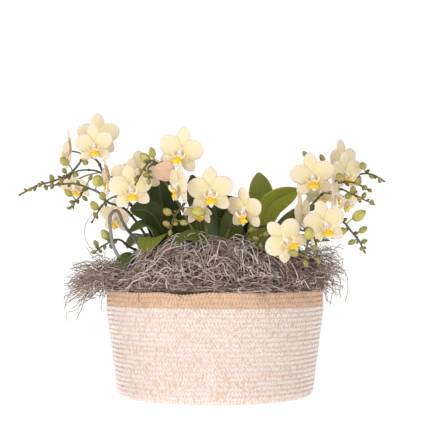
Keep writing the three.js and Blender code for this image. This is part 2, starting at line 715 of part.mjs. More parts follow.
// A strap leaf, folded along its midrib
function leaf({ path, width, facing }) {
  const line = curve(path);
  const rows = LEAF_ROWS.map(([share, spread]) => {
    const middle = line.getPointAt(share);
    const along = line.getTangentAt(share);
    const across = vector(facing).cross(along).normalize();
    const normal = along.clone().cross(across);
    const half = (width * spread) / 2;
    const raised = middle.clone().addScaledVector(normal, width * spread * LEAF_FOLD);
    const points = [
      raised.clone().addScaledVector(across, -half), middle, raised.clone().addScaledVector(across, half),
    ];
    return { points, normal };
  });
  return toSolid(blade(rows, LEAF_THICKNESS));
}

function leafyStem(name, plant) {
  const whole = unite([crown(PLANT_SITES[plant]), ...LEAVES[plant].map(leaf)]);
  return mesh(name, joined(whole), '#3f6b2a', 0.45);
}

// One layer of petals or sepals: a plate whose lobes leave the middle, with the tips reaching forward
function whorl({ lobes, lift, outline }, size, reach) {
  const points = lobes.flatMap(({ angle, length, width }, number) => {
    const next = lobes[(number + 1) % lobes.length].angle;
    const along = new THREE.Vector2(Math.cos(degrees(angle)), Math.sin(degrees(angle)));
    const across = new THREE.Vector2(-along.y, along.x);
    const side = ([share, spread], hand) => along.clone().multiplyScalar(length * share * size)
      .addScaledVector(across, (hand * width * spread * size) / 2);
    const turn = next > angle ? next : next + 360;
    const middle = degrees((angle + turn) / 2);
    const notch = new THREE.Vector2(Math.cos(middle), Math.sin(middle)).multiplyScalar(NOTCH_RADIUS);
    const right = outline.map((row) => side(row, -1));
    const left = outline.map((row) => side(row, 1)).reverse();
    return [...right, along.clone().multiplyScalar(length * size), ...left, notch];
  });
  const plate = extruded(points, TEPAL_THICKNESS);
  const { position } = plate.attributes;
  for (let i = 0; i < position.count; i += 1) {
    const distance = Math.hypot(position.getX(i), position.getY(i));
    const rise = (reach * distance * distance) / (LOBE_LENGTH * size);
    const drawnIn = 1 - 0.35 * reach * reach * Math.min(1, distance / LOBE_LENGTH);
    position.setX(i, position.getX(i) * drawnIn);
    position.setY(i, position.getY(i) * drawnIn);
    position.setZ(i, position.getZ(i) + lift + rise);
  }
  return toSolid(plate);
}

// The lip: a pointed middle lobe that hangs forward and two side lobes that curl up beside the column
function lip() {
  const left = LIP_OUTLINE.slice(1).reverse().map(([x, y]) => [-x, y]);
  const points = [...LIP_OUTLINE, ...left].map(([x, y]) => new THREE.Vector2(x, y));
  const plate = extruded(points, TEPAL_THICKNESS);
  const { position } = plate.attributes;
  for (let i = 0; i < position.count; i += 1) {
    const [x, y] = [position.getX(i), position.getY(i)];
    const forward = 1.5 + 0.6 * Math.abs(x) + 0.3 * Math.max(0, -y - 2);
    position.setZ(i, position.getZ(i) + forward);
  }
  return toSolid(plate);
}

// A bloom about its own middle: x to its right, y up, z out of its face
function bloomGeometry({ size, reach }) {
  const profile = [
    [0, -HUB_BACK], [HUB_RADIUS, -HUB_BACK], [HUB_RADIUS, COLUMN_TOP / 4], [COLUMN_TOP_RADIUS, COLUMN_TOP],
    [0, COLUMN_TOP],
  ];
  const column = toSolid(turned(profile, 4));
  return joined(unite([column, whorl(SEPALS, size, reach), whorl(PETALS, size, reach), lip()]));
}

function bloomTurn({ yaw, pitch, roll }) {
  const axisX = new THREE.Vector3(1, 0, 0);
  const axisZ = new THREE.Vector3(0, 0, 1);
  return new THREE.Quaternion().setFromAxisAngle(axisZ, degrees(yaw))
    .multiply(new THREE.Quaternion().setFromAxisAngle(axisX, degrees(90 - pitch)))
    .multiply(new THREE.Quaternion().setFromAxisAngle(axisZ, degrees(-roll)));
}

function bloom(entry) {
  const piece = mesh(entry.name, bloomGeometry(entry), '#f3e6b8', 0.6);
  piece.position.set(...entry.at);
  piece.quaternion.copy(bloomTurn(entry));
  return piece;
}

// A stem's line as the straight steps that its tube is made of
const stemSteps = (line, steps) => Array.from({ length: steps + 1 }, (_, i) => line.getPointAt(i / steps));

// The point of a spike's stems that lies nearest to a place, past the leafy foot of its main stem
function nearestPoint(stems, place) {
  let best = stems[0].at(-1);
  const closest = new THREE.Vector3();
  stems.forEach((points, number) => {
    const first = number === 0 ? Math.ceil(LEAFY_SHARE * (points.length - 1)) : 0;
    for (let i = first; i < points.length - 1; i += 1) {
      new THREE.Line3(points[i], points[i + 1]).closestPointToPoint(place, true, closest);
      if (closest.distanceTo(place) < best.distanceTo(place)) best = closest.clone();
    }
  });
  return best;
}

// A bud on its stalk, pointing away from the stem
function bud(stems, [x, y, z, radius]) {
  const middle = new THREE.Vector3(x, y, z);
  const foot = nearestPoint(stems, middle);
  const heading = middle.clone().sub(foot);
  const distance = heading.length();
  if (distance < 1) heading.copy(stems[0].at(-1)).sub(stems[0].at(-2));
  heading.normalize();
  const points = BUD_PROFILE.map(([across, along]) => new THREE.Vector2(across * radius, along * radius));
  const turn = new THREE.Quaternion().setFromUnitVectors(new THREE.Vector3(0, 1, 0), heading);
  const sides = radius > LARGE_BUD ? 5 : 4;
  const body = new THREE.LatheGeometry(points, sides).applyQuaternion(turn).translate(x, y, z);
  const parts = [toSolid(body)];
  if (distance > radius) parts.push(tube(new THREE.LineCurve3(foot, middle), STALK_RADIUS, 3, 1));
  return parts;
}

// A bloom's stalk leaves the stem and turns to meet the back of the bloom squarely
function stalk(stems, name) {
  const entry = BLOOMS.find((item) => item.name === name);
  const facing = new THREE.Vector3(0, 0, 1).applyQuaternion(bloomTurn(entry));
  const end = vector(entry.at).addScaledVector(facing, -HUB_BACK - GAP);
  const turn = end.clone().addScaledVector(facing, -STALK_TURN);
  const foot = nearestPoint(stems, turn);
  const start = foot.clone().lerp(turn, 0.4);
  return tube(new THREE.CubicBezierCurve3(foot, start, turn, end), STALK_RADIUS, 3, STALK_STEPS);
}

function spike({ name, plant, route, branches, buds, blooms }) {
  const main = curve(route);
  const stems = [stemSteps(main, route.length)];
  const parts = [tube(main, STEM_RADIUS, 4, route.length)];
  branches.forEach((points) => {
    const branch = curve(points);
    branch.points[0] = nearestPoint(stems.slice(0, 1), branch.points[0]);
    stems.push(stemSteps(branch, BRANCH_STEPS));
    parts.push(tube(branch, BRANCH_RADIUS, 3, BRANCH_STEPS));
  });
  parts.push(...buds.flatMap((entry) => bud(stems, entry)));
  parts.push(...blooms.map((bloomName) => stalk(stems, bloomName)));
  const trimmed = unite(parts).subtract(crown(PLANT_SITES[plant], GAP));
  return mesh(name, cleaned(largestBody(toGeometry(trimmed))), '#5c5a2c', 0.6);
}

function aerialRoot() {
  const whole = tube(curve(AERIAL_ROOT), AERIAL_ROOT_RADIUS, 4, 13).subtract(crown(PLANT_SITES.left, GAP));
  return mesh('aerial_root', joined(whole), '#9c9a94', 0.8);
}

// The tag is a pebble-shaped slip of wood, held by a spring clip round the middle-left stem
function tagAndClip() {
  const clipInner = STEM_RADIUS + GAP;
  const clipOuter = clipInner + CLIP_WALL;
  const padMiddle = clipOuter + CLIP_PAD_DEPTH / 2 - CLIP_WALL / 2;
  const opening = degrees(CLIP_OPENING / 2);
  const section = new THREE.Shape();
  section.absarc(0, 0, clipOuter, Math.PI / 2 + opening, Math.PI * 2.5 - opening, false);
  section.absarc(0, 0, clipInner, Math.PI * 2.5 - opening, Math.PI / 2 + opening, true);
  const ringOptions = { depth: CLIP_HEIGHT, bevelEnabled: false, curveSegments: 5 };
  const ring = toSolid(new THREE.ExtrudeGeometry(section, ringOptions));
  const pad = new THREE.BoxGeometry(CLIP_PAD, CLIP_PAD_DEPTH, CLIP_HEIGHT);
  pad.translate(0, -padMiddle, CLIP_HEIGHT / 2);
  const clip = mesh('tag_clip', toGeometry(ring.add(toSolid(pad))), '#d8d2c4', 0.5);

  const outline = Array.from({ length: TAG_CORNERS }, (_, i) => {
    const turn = (i / TAG_CORNERS) * Math.PI * 2;
    const radius = TAG_RADIUS * (1 + 0.05 * Math.cos(2 * turn + 0.6) + 0.05 * Math.sin(3 * turn));
    return new THREE.Vector2(radius * Math.cos(turn), radius * Math.sin(turn));
  });
  const tag = mesh('plant_tag', extruded(outline, TAG_THICKNESS), '#e3b795', 0.7);
  tag.rotation.x = Math.PI / 2;
  tag.position.set(TAG_OFFSET, -padMiddle - CLIP_PAD_DEPTH / 2 - GAP, CLIP_HEIGHT / 2);

  const { route } = SPIKES.find(({ name }) => name === 'spike_middle_left');
  const [low, high] = stemSteps(curve(route), route.length).slice(TAG_STEM_STEP);
  const along = high.clone().sub(low).normalize();
  const group = new THREE.Group();
  group.position.copy(low).lerp(high, 0.5).addScaledVector(along, -CLIP_HEIGHT / 2);
  group.quaternion.setFromUnitVectors(new THREE.Vector3(0, 0, 1), along);
  group.add(clip, tag);
  return group;
}

// Repeatable draw between two values
let seed = 77;
function draw(low, high) {
  seed = (seed * 16807) % 2147483647;
  return low + ((high - low) * (seed % 10000)) / 10000;
}

// Height of the moss mound at a distance from the middle and a turn about it
function mossHeight(distance, turn) {
  const edge = Math.min(1, distance / MOSS_RADIUS);
  return MOSS_TOP - MOSS_EDGE_DROP * edge ** 3 + 3 * Math.sin(3 * turn + 1) * edge + 2 * Math.sin(5 * turn);
}

function mossCore() {
  const top = MOSS_RINGS.map((radius) => [radius, MOSS_TOP]);
  const profile = [[0, MOSS_FOOT], [MOSS_FOOT_RADIUS, MOSS_FOOT], [MOSS_RADIUS, MOSS_SHOULDER], ...top];
  const geometry = turned(profile, MOSS_FACETS);
  const { position } = geometry.attributes;
  for (let i = 0; i < position.count; i += 1) {
    const [x, y, z] = [position.getX(i), position.getY(i), position.getZ(i)];
    const turn = Math.hypot(x, y) < 1 ? 0 : Math.atan2(y, x);
    const tangle = MOSS_TANGLE * Math.sin(x * 0.9 + y * 0.31) * Math.cos(y * 0.7 - x * 0.23);
    if (z > MOSS_SHOULDER) position.setZ(i, mossHeight(Math.hypot(x, y), turn) + tangle);
  }
  return toSolid(geometry);
}

// A loop of moss that rises out of the mound and dips back into it
function mossLoop() {
  const turn = draw(0, Math.PI * 2);
  const distance = draw(34, 104);
  const heading = draw(0, Math.PI * 2);
  const span = draw(22, 40);
  const height = draw(11, 21);
  const curl = draw(-14, 14);
  const points = [0, 0.25, 0.5, 0.75, 1].map((share) => {
    const forward = span * (share - 0.5);
    const side = curl * Math.sin(share * Math.PI * 2);
    const x = distance * Math.cos(turn) + forward * Math.cos(heading) - side * Math.sin(heading);
    const y = distance * Math.sin(turn) + forward * Math.sin(heading) + side * Math.cos(heading);
    const ground = mossHeight(Math.hypot(x, y), Math.atan2(y, x)) - MOSS_LOOP_START;
    return [x, y, ground + height * Math.sin(share * Math.PI)];
  });
  return tube(curve(points), STRAND_RADIUS, 3, 4);
}

// A strand that spills over the rim and hangs free
function mossSpill(turn, reach, drop) {
  const start = MOSS_SPILL_START;
  const curl = draw(-9, 9);
  const points = [0, 0.3, 0.6, 1].map((share) => {
    const distance = start + (reach - start) * share;
    const side = curl * Math.sin(share * Math.PI * 1.6);
    const x = distance * Math.cos(turn) - side * Math.sin(turn);
    const y = distance * Math.sin(turn) + side * Math.cos(turn);
    return [x, y, MOSS_SPILL_HEIGHT + 6 * Math.sin(share * Math.PI) - drop * share * share];
  });
  return tube(curve(points), STRAND_RADIUS, 3, 5);
}

// The moss: a low mound with curly strands standing out of it, plain holes for the crowns and the root, and
// clear of the leaves, the spikes and the rim
function moss() {
  const loops = Array.from({ length: MOSS_LOOPS }, mossLoop);
  const spills = [];
  for (const { middle, spread, count, reach, drop } of MOSS_SPILLS) {
    for (let i = 0; i < count; i += 1) {
      const share = (2 * i) / (count - 1) - 1;
      const length = reach - (reach - MOSS_SPILL_SHORTEST) * share * share - draw(0, 8);
      const hang = (length - BASKET_RIM_RADIUS) / (reach - BASKET_RIM_RADIUS);
      spills.push(mossSpill(middle + spread * share, length, drop * hang * draw(0.5, 1.2)));
    }
  }
  const clear = unite(Object.values(PLANT_SITES).map(([x, y]) => {
    const funnel = new THREE.CylinderGeometry(MOSS_HOLE_TOP, MOSS_HOLE_FOOT, MOSS_HOLE_DEPTH, 8);
    return toSolid(funnel.rotateX(Math.PI / 2).translate(x, y, MOSS_FOOT - 1 + MOSS_HOLE_DEPTH / 2));
  }));
  const whole = unite([mossCore(), ...loops, ...spills]).subtract(clear);
  return mesh('moss', cleaned(largestBody(toGeometry(whole))), '#8b7a6c', 1);
}

const group = new THREE.Group();
group.name = 'moth_orchid_in_basket';
group.add(basketWall(), basketBand(), reservoirTub(), reservoirDeck());
for (const [plant, site] of Object.entries(PLANT_SITES)) {
  group.add(wick(`wick_${plant}`, site), pot(`pot_${plant}`, site), bark(`bark_${plant}`, site));
  group.add(leafyStem(`leafy_stem_${plant}`, plant));
}
SPIKES.forEach((entry) => group.add(spike(entry)));
BLOOMS.forEach((entry) => group.add(bloom(entry)));
group.add(aerialRoot(), tagAndClip(), moss());

export default group;
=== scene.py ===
import json
import math

import bpy
import numpy as np
from mathutils import Matrix, Vector

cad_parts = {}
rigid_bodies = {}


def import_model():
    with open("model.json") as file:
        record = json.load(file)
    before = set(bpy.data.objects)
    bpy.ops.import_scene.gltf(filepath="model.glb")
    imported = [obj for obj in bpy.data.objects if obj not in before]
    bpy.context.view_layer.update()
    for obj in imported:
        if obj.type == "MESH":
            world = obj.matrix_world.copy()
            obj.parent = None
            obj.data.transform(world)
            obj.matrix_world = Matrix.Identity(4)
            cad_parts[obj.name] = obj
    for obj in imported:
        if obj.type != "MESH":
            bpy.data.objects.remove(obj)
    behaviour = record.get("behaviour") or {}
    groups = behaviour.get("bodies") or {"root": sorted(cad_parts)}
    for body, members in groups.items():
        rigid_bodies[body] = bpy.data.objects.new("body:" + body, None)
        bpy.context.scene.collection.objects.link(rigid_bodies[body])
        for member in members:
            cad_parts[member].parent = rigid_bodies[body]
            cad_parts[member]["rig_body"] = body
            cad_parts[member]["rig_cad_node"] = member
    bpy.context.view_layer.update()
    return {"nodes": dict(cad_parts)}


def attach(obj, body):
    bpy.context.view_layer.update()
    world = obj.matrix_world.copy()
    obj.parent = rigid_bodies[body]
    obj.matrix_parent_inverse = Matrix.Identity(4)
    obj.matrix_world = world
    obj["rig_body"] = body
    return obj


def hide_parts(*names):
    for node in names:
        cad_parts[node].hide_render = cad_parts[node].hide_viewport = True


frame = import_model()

# BASKET WALL
# A cotton rope coiled row on row and sewn together with a white zigzag thread. The rope is tan with white
# yarn through it, so the wall is pale with tan flecks between the slanted stitches.
MM = 0.001
BASKET_HEIGHT = 122
BAND_HEIGHT = 17
WALL_TOP = BASKET_HEIGHT - BAND_HEIGHT
WALL_ROWS = 20
RIM_RADIUS = 125
FOOT_RADIUS = 112
STRAIGHT_FROM = 98
FOOT_ROUNDING = 9
ROPE_THICKNESS = 5.5
ROPE_OUTLINE = ((0, 0.6), (0.2, 0.4), (0.5, 0.3), (0.8, 0.4))  # share of a row, and depth under the thread
SHELL_STEPS = 96
# Sags of the soft rim: their place and reach in degrees, and their depth.
RIM_SAGS = [(-106, 8, 3.0), (-62, 7, 1.0), (-135, 9, 1.2), (20, 10, 1.8), (100, 12, 2.4), (165, 9, 1.6)]
STITCHES_IN_ROW = 400
STITCH_WIDTH = 0.86
STITCH_STATIONS = np.array([-1.0, -0.6, 0.0, 0.6, 1.0])
STITCH_FATNESS = np.array([0.0, 0.95, 1.0, 0.95, 0.0])
PALE_FIBRE, DARK_FIBRE = (0.88, 0.70, 0.56), (0.78, 0.54, 0.38)
PALE_THREAD, DARK_THREAD = (0.92, 0.85, 0.845), (0.85, 0.75, 0.71)
rng = np.random.default_rng(7)


def basket_radius(height):
    """Outer radius of the basket: leaning, upright near the rim and rounded at the foot."""
    lean = (RIM_RADIUS - FOOT_RADIUS) / STRAIGHT_FROM
    wall = FOOT_RADIUS + lean * np.clip(height, FOOT_ROUNDING, STRAIGHT_FROM)
    rise = np.clip(FOOT_ROUNDING - height, 0, FOOT_ROUNDING)
    return wall - FOOT_ROUNDING + np.sqrt(FOOT_ROUNDING ** 2 - rise ** 2)


def rim_dip(turn):
    """How far the soft rim sags at each place round the basket."""
    sag = 0
    for place, reach, depth in RIM_SAGS:
        away = (np.degrees(turn) - place + 180) % 360 - 180
        sag = sag + depth * np.exp(-(away / reach) ** 2)
    return sag


def around(radius, turn, height):
    """Places at a radius and a turn round the upright axis."""
    return np.stack(np.broadcast_arrays(radius * np.cos(turn), radius * np.sin(turn), height), axis=-1)


def make_piece(name, points, faces, values=None, uv=None, edges=()):
    """A smooth mesh object from points in millimetres, with named values and a UV for each point."""
    mesh = bpy.data.meshes.new(name)
    mesh.from_pydata((np.asarray(points) * MM).tolist(), edges, [list(face) for face in faces])
    for key, column in (values or {}).items():
        attribute = mesh.attributes.new(key, "FLOAT", "POINT")
        attribute.data.foreach_set("value", np.asarray(column, dtype=np.float32))
    if uv is not None:
        corners = np.zeros(len(mesh.loops), dtype=np.int32)
        mesh.loops.foreach_get("vertex_index", corners)
        layer = mesh.uv_layers.new(name="surface")
        layer.data.foreach_set("uv", np.asarray(uv, dtype=np.float32)[corners].ravel())
    mesh.shade_smooth()
    mesh.update()
    piece = bpy.data.objects.new(name, mesh)
    bpy.context.scene.collection.objects.link(piece)
    return piece


def place_piece(piece, node, material):
    """A new piece stands for its node, rides with the basket and takes its finish."""
    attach(piece, "root")
    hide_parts(node)
    piece.data.materials.clear()
    piece.data.materials.append(material)


def edit_alone(piece):
    """Opens one piece in edit mode, with all of it selected and nothing else."""
    bpy.ops.object.select_all(action="DESELECT")
    piece.select_set(True)
    bpy.context.view_layer.objects.active = piece
    bpy.ops.object.mode_set(mode="EDIT")
    bpy.ops.mesh.select_all(action="SELECT")


def face_outwards():
    """Turns the faces of the open piece outwards and closes it again."""
    bpy.ops.mesh.normals_make_consistent(inside=False)
    bpy.ops.object.mode_set(mode="OBJECT")


def turned_shell(name, profile):
    """A closed ring or bowl: its section is spun about the upright axis and the seam is merged."""
    count = len(profile)
    edges = [(i, (i + 1) % count) for i in range(count if profile[0][0] > 0 else count - 1)]
    piece = make_piece(name, [(radius, 0, height) for radius, height in profile], [], edges=edges)
    edit_alone(piece)
    bpy.ops.mesh.spin(steps=SHELL_STEPS, angle=math.tau, center=(0, 0, 0), axis=(0, 0, 1))
    bpy.ops.mesh.select_all(action="SELECT")
    bpy.ops.mesh.remove_doubles(threshold=1e-6)
    face_outwards()
    piece.data.shade_smooth()
    return piece


def rope_profile(bottom, top, rows):
    """Outline of stacked rope rows, round between seams."""
    pitch = (top - bottom) / rows
    places = [(bottom + (row + share) * pitch, depth) for row in range(rows) for share, depth in ROPE_OUTLINE]
    return [(float(basket_radius(z)) - depth, z) for z, depth in (*places, (top, ROPE_OUTLINE[0][1]))]


def inner_profile(*heights):
    """Points of the inside of the rope at these heights."""
    return [(float(basket_radius(z)) - ROPE_THICKNESS, z) for z in heights]


def tube_faces(rings, sides, first=0):
    """Four-sided faces of a tube of rings, whose points are numbered from a first one."""
    return [(ring + i, ring + (i + 1) % sides, ring + sides + (i + 1) % sides, ring + sides + i)
            for ring in range(first, first + (rings - 1) * sides, sides) for i in range(sides)]


def repeated(faces, copies, points_each):
    """Faces of many copies of one small mesh, split into triangles."""
    corners = [(face[0], *pair) for face in faces for pair in zip(face[1:-1], face[2:])]
    return (np.array(corners) + np.arange(copies)[:, None, None] * points_each).reshape(-1, 3)


def zigzag_stitches(name, bottom, top, rows, wobble, drop):
    """The sewn thread: slanted stitches that lean left and right in turn over each row of rope."""
    pitch = (top - bottom) / rows
    step = math.tau / STITCHES_IN_ROW
    row, number = np.divmod(np.arange(rows * STITCHES_IN_ROW), STITCHES_IN_ROW)
    lean = np.where(number % 2 == 0, 1.0, -1.0)
    shift = rng.uniform(0, math.tau, rows)[row]
    turn = shift + (number + rng.normal(0, 0.10, len(row))) * step
    middle = bottom + (row + 0.5) * pitch + rng.normal(0, 0.12, len(row))
    middle += wobble * (np.sin(3 * turn + 1.1) + 0.6 * np.sin(7 * turn + row * 0.4)) * (row + 1) / rows
    middle -= rim_dip(turn) * np.clip((middle - WALL_TOP) / BAND_HEIGHT, 0, 1)
    size = rng.uniform(0.82, 1.16, len(row))[:, None]
    along = middle[:, None] + STITCH_STATIONS * pitch * 0.57
    angle = turn[:, None] + lean[:, None] * STITCH_STATIONS * step / 2
    radius = basket_radius(np.clip(along, 0, BASKET_HEIGHT)) + 0.05 - drop * STITCH_STATIONS ** 2 * size
    run, rise = lean * step * basket_radius(middle), pitch * 1.04
    length = np.hypot(run, rise)[:, None]
    station = np.repeat(np.arange(5), [1, 4, 4, 4, 1])
    across, outward = np.array([0, *(1, 0, -1, 0) * 3, 0]), np.array([0, *(0, 1, 0, -1) * 3, 0])
    fat = STITCH_WIDTH * STITCH_FATNESS[station]
    half = size * fat * across
    r = radius[:, station] + outward * 0.55 * fat
    z = np.maximum(along[:, station] - half * run[:, None] / length, 0.05)
    points = around(r, angle[:, station] + half * rise / length / r, z)
    ends = [face for i in range(4) for face in ((0, 1 + (i + 1) % 4, 1 + i), (9 + i, 9 + (i + 1) % 4, 13))]
    faces = repeated([*ends, *tube_faces(3, 4, 1)], len(row), len(station))
    tone = 0.5 + 0.12 * rng.normal(0, 1, (len(row), 1)) + 0.3 * rng.normal(0, 1, (len(row), 5))
    piece = make_piece(name, points.reshape(-1, 3), faces, {"tone": np.clip(tone, 0, 1)[:, station].ravel()})
    edit_alone(piece)
    face_outwards()
    return piece


def set_inputs(tree, node, values):
    """Each input of a node takes a plain value, or is linked to the output that is given."""
    for key, value in values.items():
        if isinstance(value, bpy.types.NodeSocket):
            tree.links.new(value, node.inputs[key])
        else:
            node.inputs[key].default_value = value


def add_node(tree, kind, values=None, **settings):
    """The outputs of a new shader node with these settings and inputs."""
    made = tree.nodes.new("ShaderNode" + kind)
    for key, value in settings.items():
        setattr(made, key, value)
    set_inputs(tree, made, values or {})
    return made.outputs


def noise(tree, place, scale, detail, roughness=0.5, dimensions="3D"):
    """Soft random tones over the surface."""
    return add_node(tree, "TexNoise", {"Vector": place, "Scale": scale, "Detail": detail,
                                       "Roughness": roughness}, noise_dimensions=dimensions)["Fac"]


def reckon(tree, operation, *terms, clamp=False):
    """A sum whose terms are numbers or outputs."""
    return add_node(tree, "Math", dict(enumerate(terms)), operation=operation, use_clamp=clamp)[0]


def colour(paint):
    """A solid colour from its red, green and blue."""
    return (*paint, 1.0)


def mix(tree, share, first, second, blend="MIX"):
    """Two colours, mixed by a share or laid over each other."""
    return add_node(tree, "Mix", {"Factor": share, "A": first, "B": second}, data_type="RGBA",
                    blend_type=blend)["Result"]


def ramp(tree, level, stops):
    """A colour that runs with a level through stops: a place, and its red, green and blue."""
    made = tree.nodes.new("ShaderNodeValToRGB")
    tree.links.new(level, made.inputs["Fac"])
    elements = made.color_ramp.elements
    for _ in stops[2:]:
        elements.new(0.5)
    for element, (spot, *paint) in zip(elements, stops):
        element.position, element.color = spot, colour(paint)
    return made.outputs["Color"]


def relief(tree, height, strength, depth):
    """Fine bumps from a height."""
    return add_node(tree, "Bump", {"Height": height, "Strength": strength, "Distance": depth * MM})["Normal"]


def painted(tree, name):
    """A value that the mesh carries."""
    return add_node(tree, "Attribute", attribute_name=name)["Fac"]


def make_group(name, inputs, outputs):
    """A shared effect: a node group with named inputs and outputs."""
    group = bpy.data.node_groups.new(name, "ShaderNodeTree")
    for side, sockets in (("INPUT", inputs), ("OUTPUT", outputs)):
        for key, kind in sockets.items():
            group.interface.new_socket(key, in_out=side, socket_type="NodeSocket" + kind)
    return group, group.nodes.new("NodeGroupInput").outputs, group.nodes.new("NodeGroupOutput")


def dress(material, **inputs):
    """The material with plain values on its shader's own sockets, or the outputs that drive them."""
    shader = material.node_tree.nodes["Principled BSDF"]
    set_inputs(material.node_tree, shader, {key.replace("_", " "): value for key, value in inputs.items()})
    return material


def start_material(name, **inputs):
    """A new material and its node tree."""
    material = bpy.data.materials.new(name)
    material.use_nodes = True
    return dress(material, **inputs), material.node_tree


# Shared effect: fine uneven fibres that vary a colour and raise the surface.
fibres, given, result = make_group(
    "yarn_fibres", {"Light": "Color", "Dark": "Color", "Share": "Float", "Scale": "Float"},
    {"Color": "Color", "Height": "Float"})
place = add_node(fibres, "TexCoord")["Object"]
fine = noise(fibres, place, given["Scale"], 3.0, 0.65)
level = reckon(fibres, "MULTIPLY_ADD", fine, 0.9, noise(fibres, place, 60.0, 2.0))
level = reckon(fibres, "ADD", reckon(fibres, "ADD", level, -0.95), given["Share"], clamp=True)
set_inputs(fibres, result, {"Color": mix(fibres, level, given["Dark"], given["Light"]), "Height": fine})


def fibre_material(name, light, dark, share, scale, bump, depth, tones=None, **inputs):
    """A finish of fine fibres, with a lighter or darker tone for each stitch where tones are given."""
    material, tree = start_material(name, **inputs)
    values = {"Light": colour(light), "Dark": colour(dark), "Share": share, "Scale": scale}
    yarn = add_node(tree, "Group", values, node_tree=fibres)
    skin = yarn["Color"]
    if tones:
        skin = mix(tree, 1.0, skin, ramp(tree, painted(tree, "tone"), tones), "MULTIPLY")
    return dress(material, Base_Color=skin, Normal=relief(tree, yarn["Height"], bump, depth))


def yarn_material(name, light, dark, share, darkest=None):
    """Cotton yarn. The darkest stitches are multiplied by a tone of their own."""
    tones = darkest and [(0.05, *darkest), (0.5, 1, 1, 1)]
    return fibre_material(name, light, dark, share, 900, 0.25, 0.4, tones, Roughness=0.9, Sheen_Weight=0.25,
                          Sheen_Roughness=0.6, Specular_IOR_Level=0.2)


wall_inside = inner_profile(WALL_TOP, 61, 14, ROPE_THICKNESS)
wall_section = [(0, 0), (60, 0), *rope_profile(0, WALL_TOP, WALL_ROWS), *wall_inside, (0, ROPE_THICKNESS)]
wall_rope = turned_shell("basket_wall_rope", wall_section)
place_piece(wall_rope, "basket_wall", yarn_material("pale_rope", PALE_FIBRE, DARK_FIBRE, 0.5))
wall_thread = zigzag_stitches("basket_wall_stitches", 0, WALL_TOP, WALL_ROWS, 0.25, 0.45)
thread_pale = yarn_material("pale_thread", PALE_THREAD, DARK_THREAD, 0.62, (0.87, 0.66, 0.49))
place_piece(wall_thread, "basket_wall", thread_pale)

# BASKET BAND
# Three rows of natural tan rope, sewn on with tan thread as the rim. The rim is soft and sags a little in
# a few places, most of all at the front left.
BAND_ROWS = 3
band_section = [*rope_profile(WALL_TOP, BASKET_HEIGHT, BAND_ROWS), *inner_profile(BASKET_HEIGHT, WALL_TOP)]
band_rope = turned_shell("basket_band_rope", band_section)
for vertex in band_rope.data.vertices:
    share = max(0.0, min(1.0, (vertex.co.z / MM - WALL_TOP) / BAND_HEIGHT))
    vertex.co.z -= MM * share * float(rim_dip(math.atan2(vertex.co.y, vertex.co.x)))
rope_tan = yarn_material("tan_rope", (0.72, 0.46, 0.28), (0.56, 0.33, 0.19), 0.5)
place_piece(band_rope, "basket_band", rope_tan)
band_thread = zigzag_stitches("basket_band_stitches", WALL_TOP, BASKET_HEIGHT, BAND_ROWS, 0.45, 0.85)
thread_tan = yarn_material("tan_thread", (0.84, 0.60, 0.43), (0.70, 0.45, 0.30), 0.55, (0.82, 0.76, 0.70))
place_piece(band_thread, "basket_band", thread_tan)


# RESERVOIR AND POTS
# A thin plastic tub holds the water, and a plate on feet carries three thin grow pots above it. A felt wick
# hangs from each pot into the water, and chips of bark fill the pots.
def plain_finish(name, light, dark, roughness, scale, bump):
    """Moulded plastic, felt or bark: a fine uneven tone with a slight relief."""
    return fibre_material(name, light, dark, 0.5, scale, bump, 0.6, Roughness=roughness)


inner_finishes = {
    "reservoir_tub": plain_finish("tub_plastic", (0.32, 0.32, 0.31), (0.26, 0.26, 0.25), 0.45, 700, 0.1),
    "reservoir_deck": plain_finish("deck_plastic", (0.22, 0.22, 0.23), (0.17, 0.17, 0.18), 0.5, 700, 0.1),
    "wick": plain_finish("wick_cord", (0.84, 0.82, 0.76), (0.68, 0.66, 0.60), 1.0, 1500, 0.6),
    "pot": plain_finish("pot_plastic", (0.30, 0.22, 0.16), (0.25, 0.18, 0.13), 0.45, 700, 0.1),
    "bark": plain_finish("bark", (0.30, 0.17, 0.09), (0.08, 0.04, 0.02), 0.95, 180, 0.8),
}
for node_name, solid in frame["nodes"].items():
    finish = inner_finishes.get(node_name) or inner_finishes.get(node_name.split("_")[0])
    if finish:
        solid.data.materials.clear()
        solid.data.materials.append(finish)

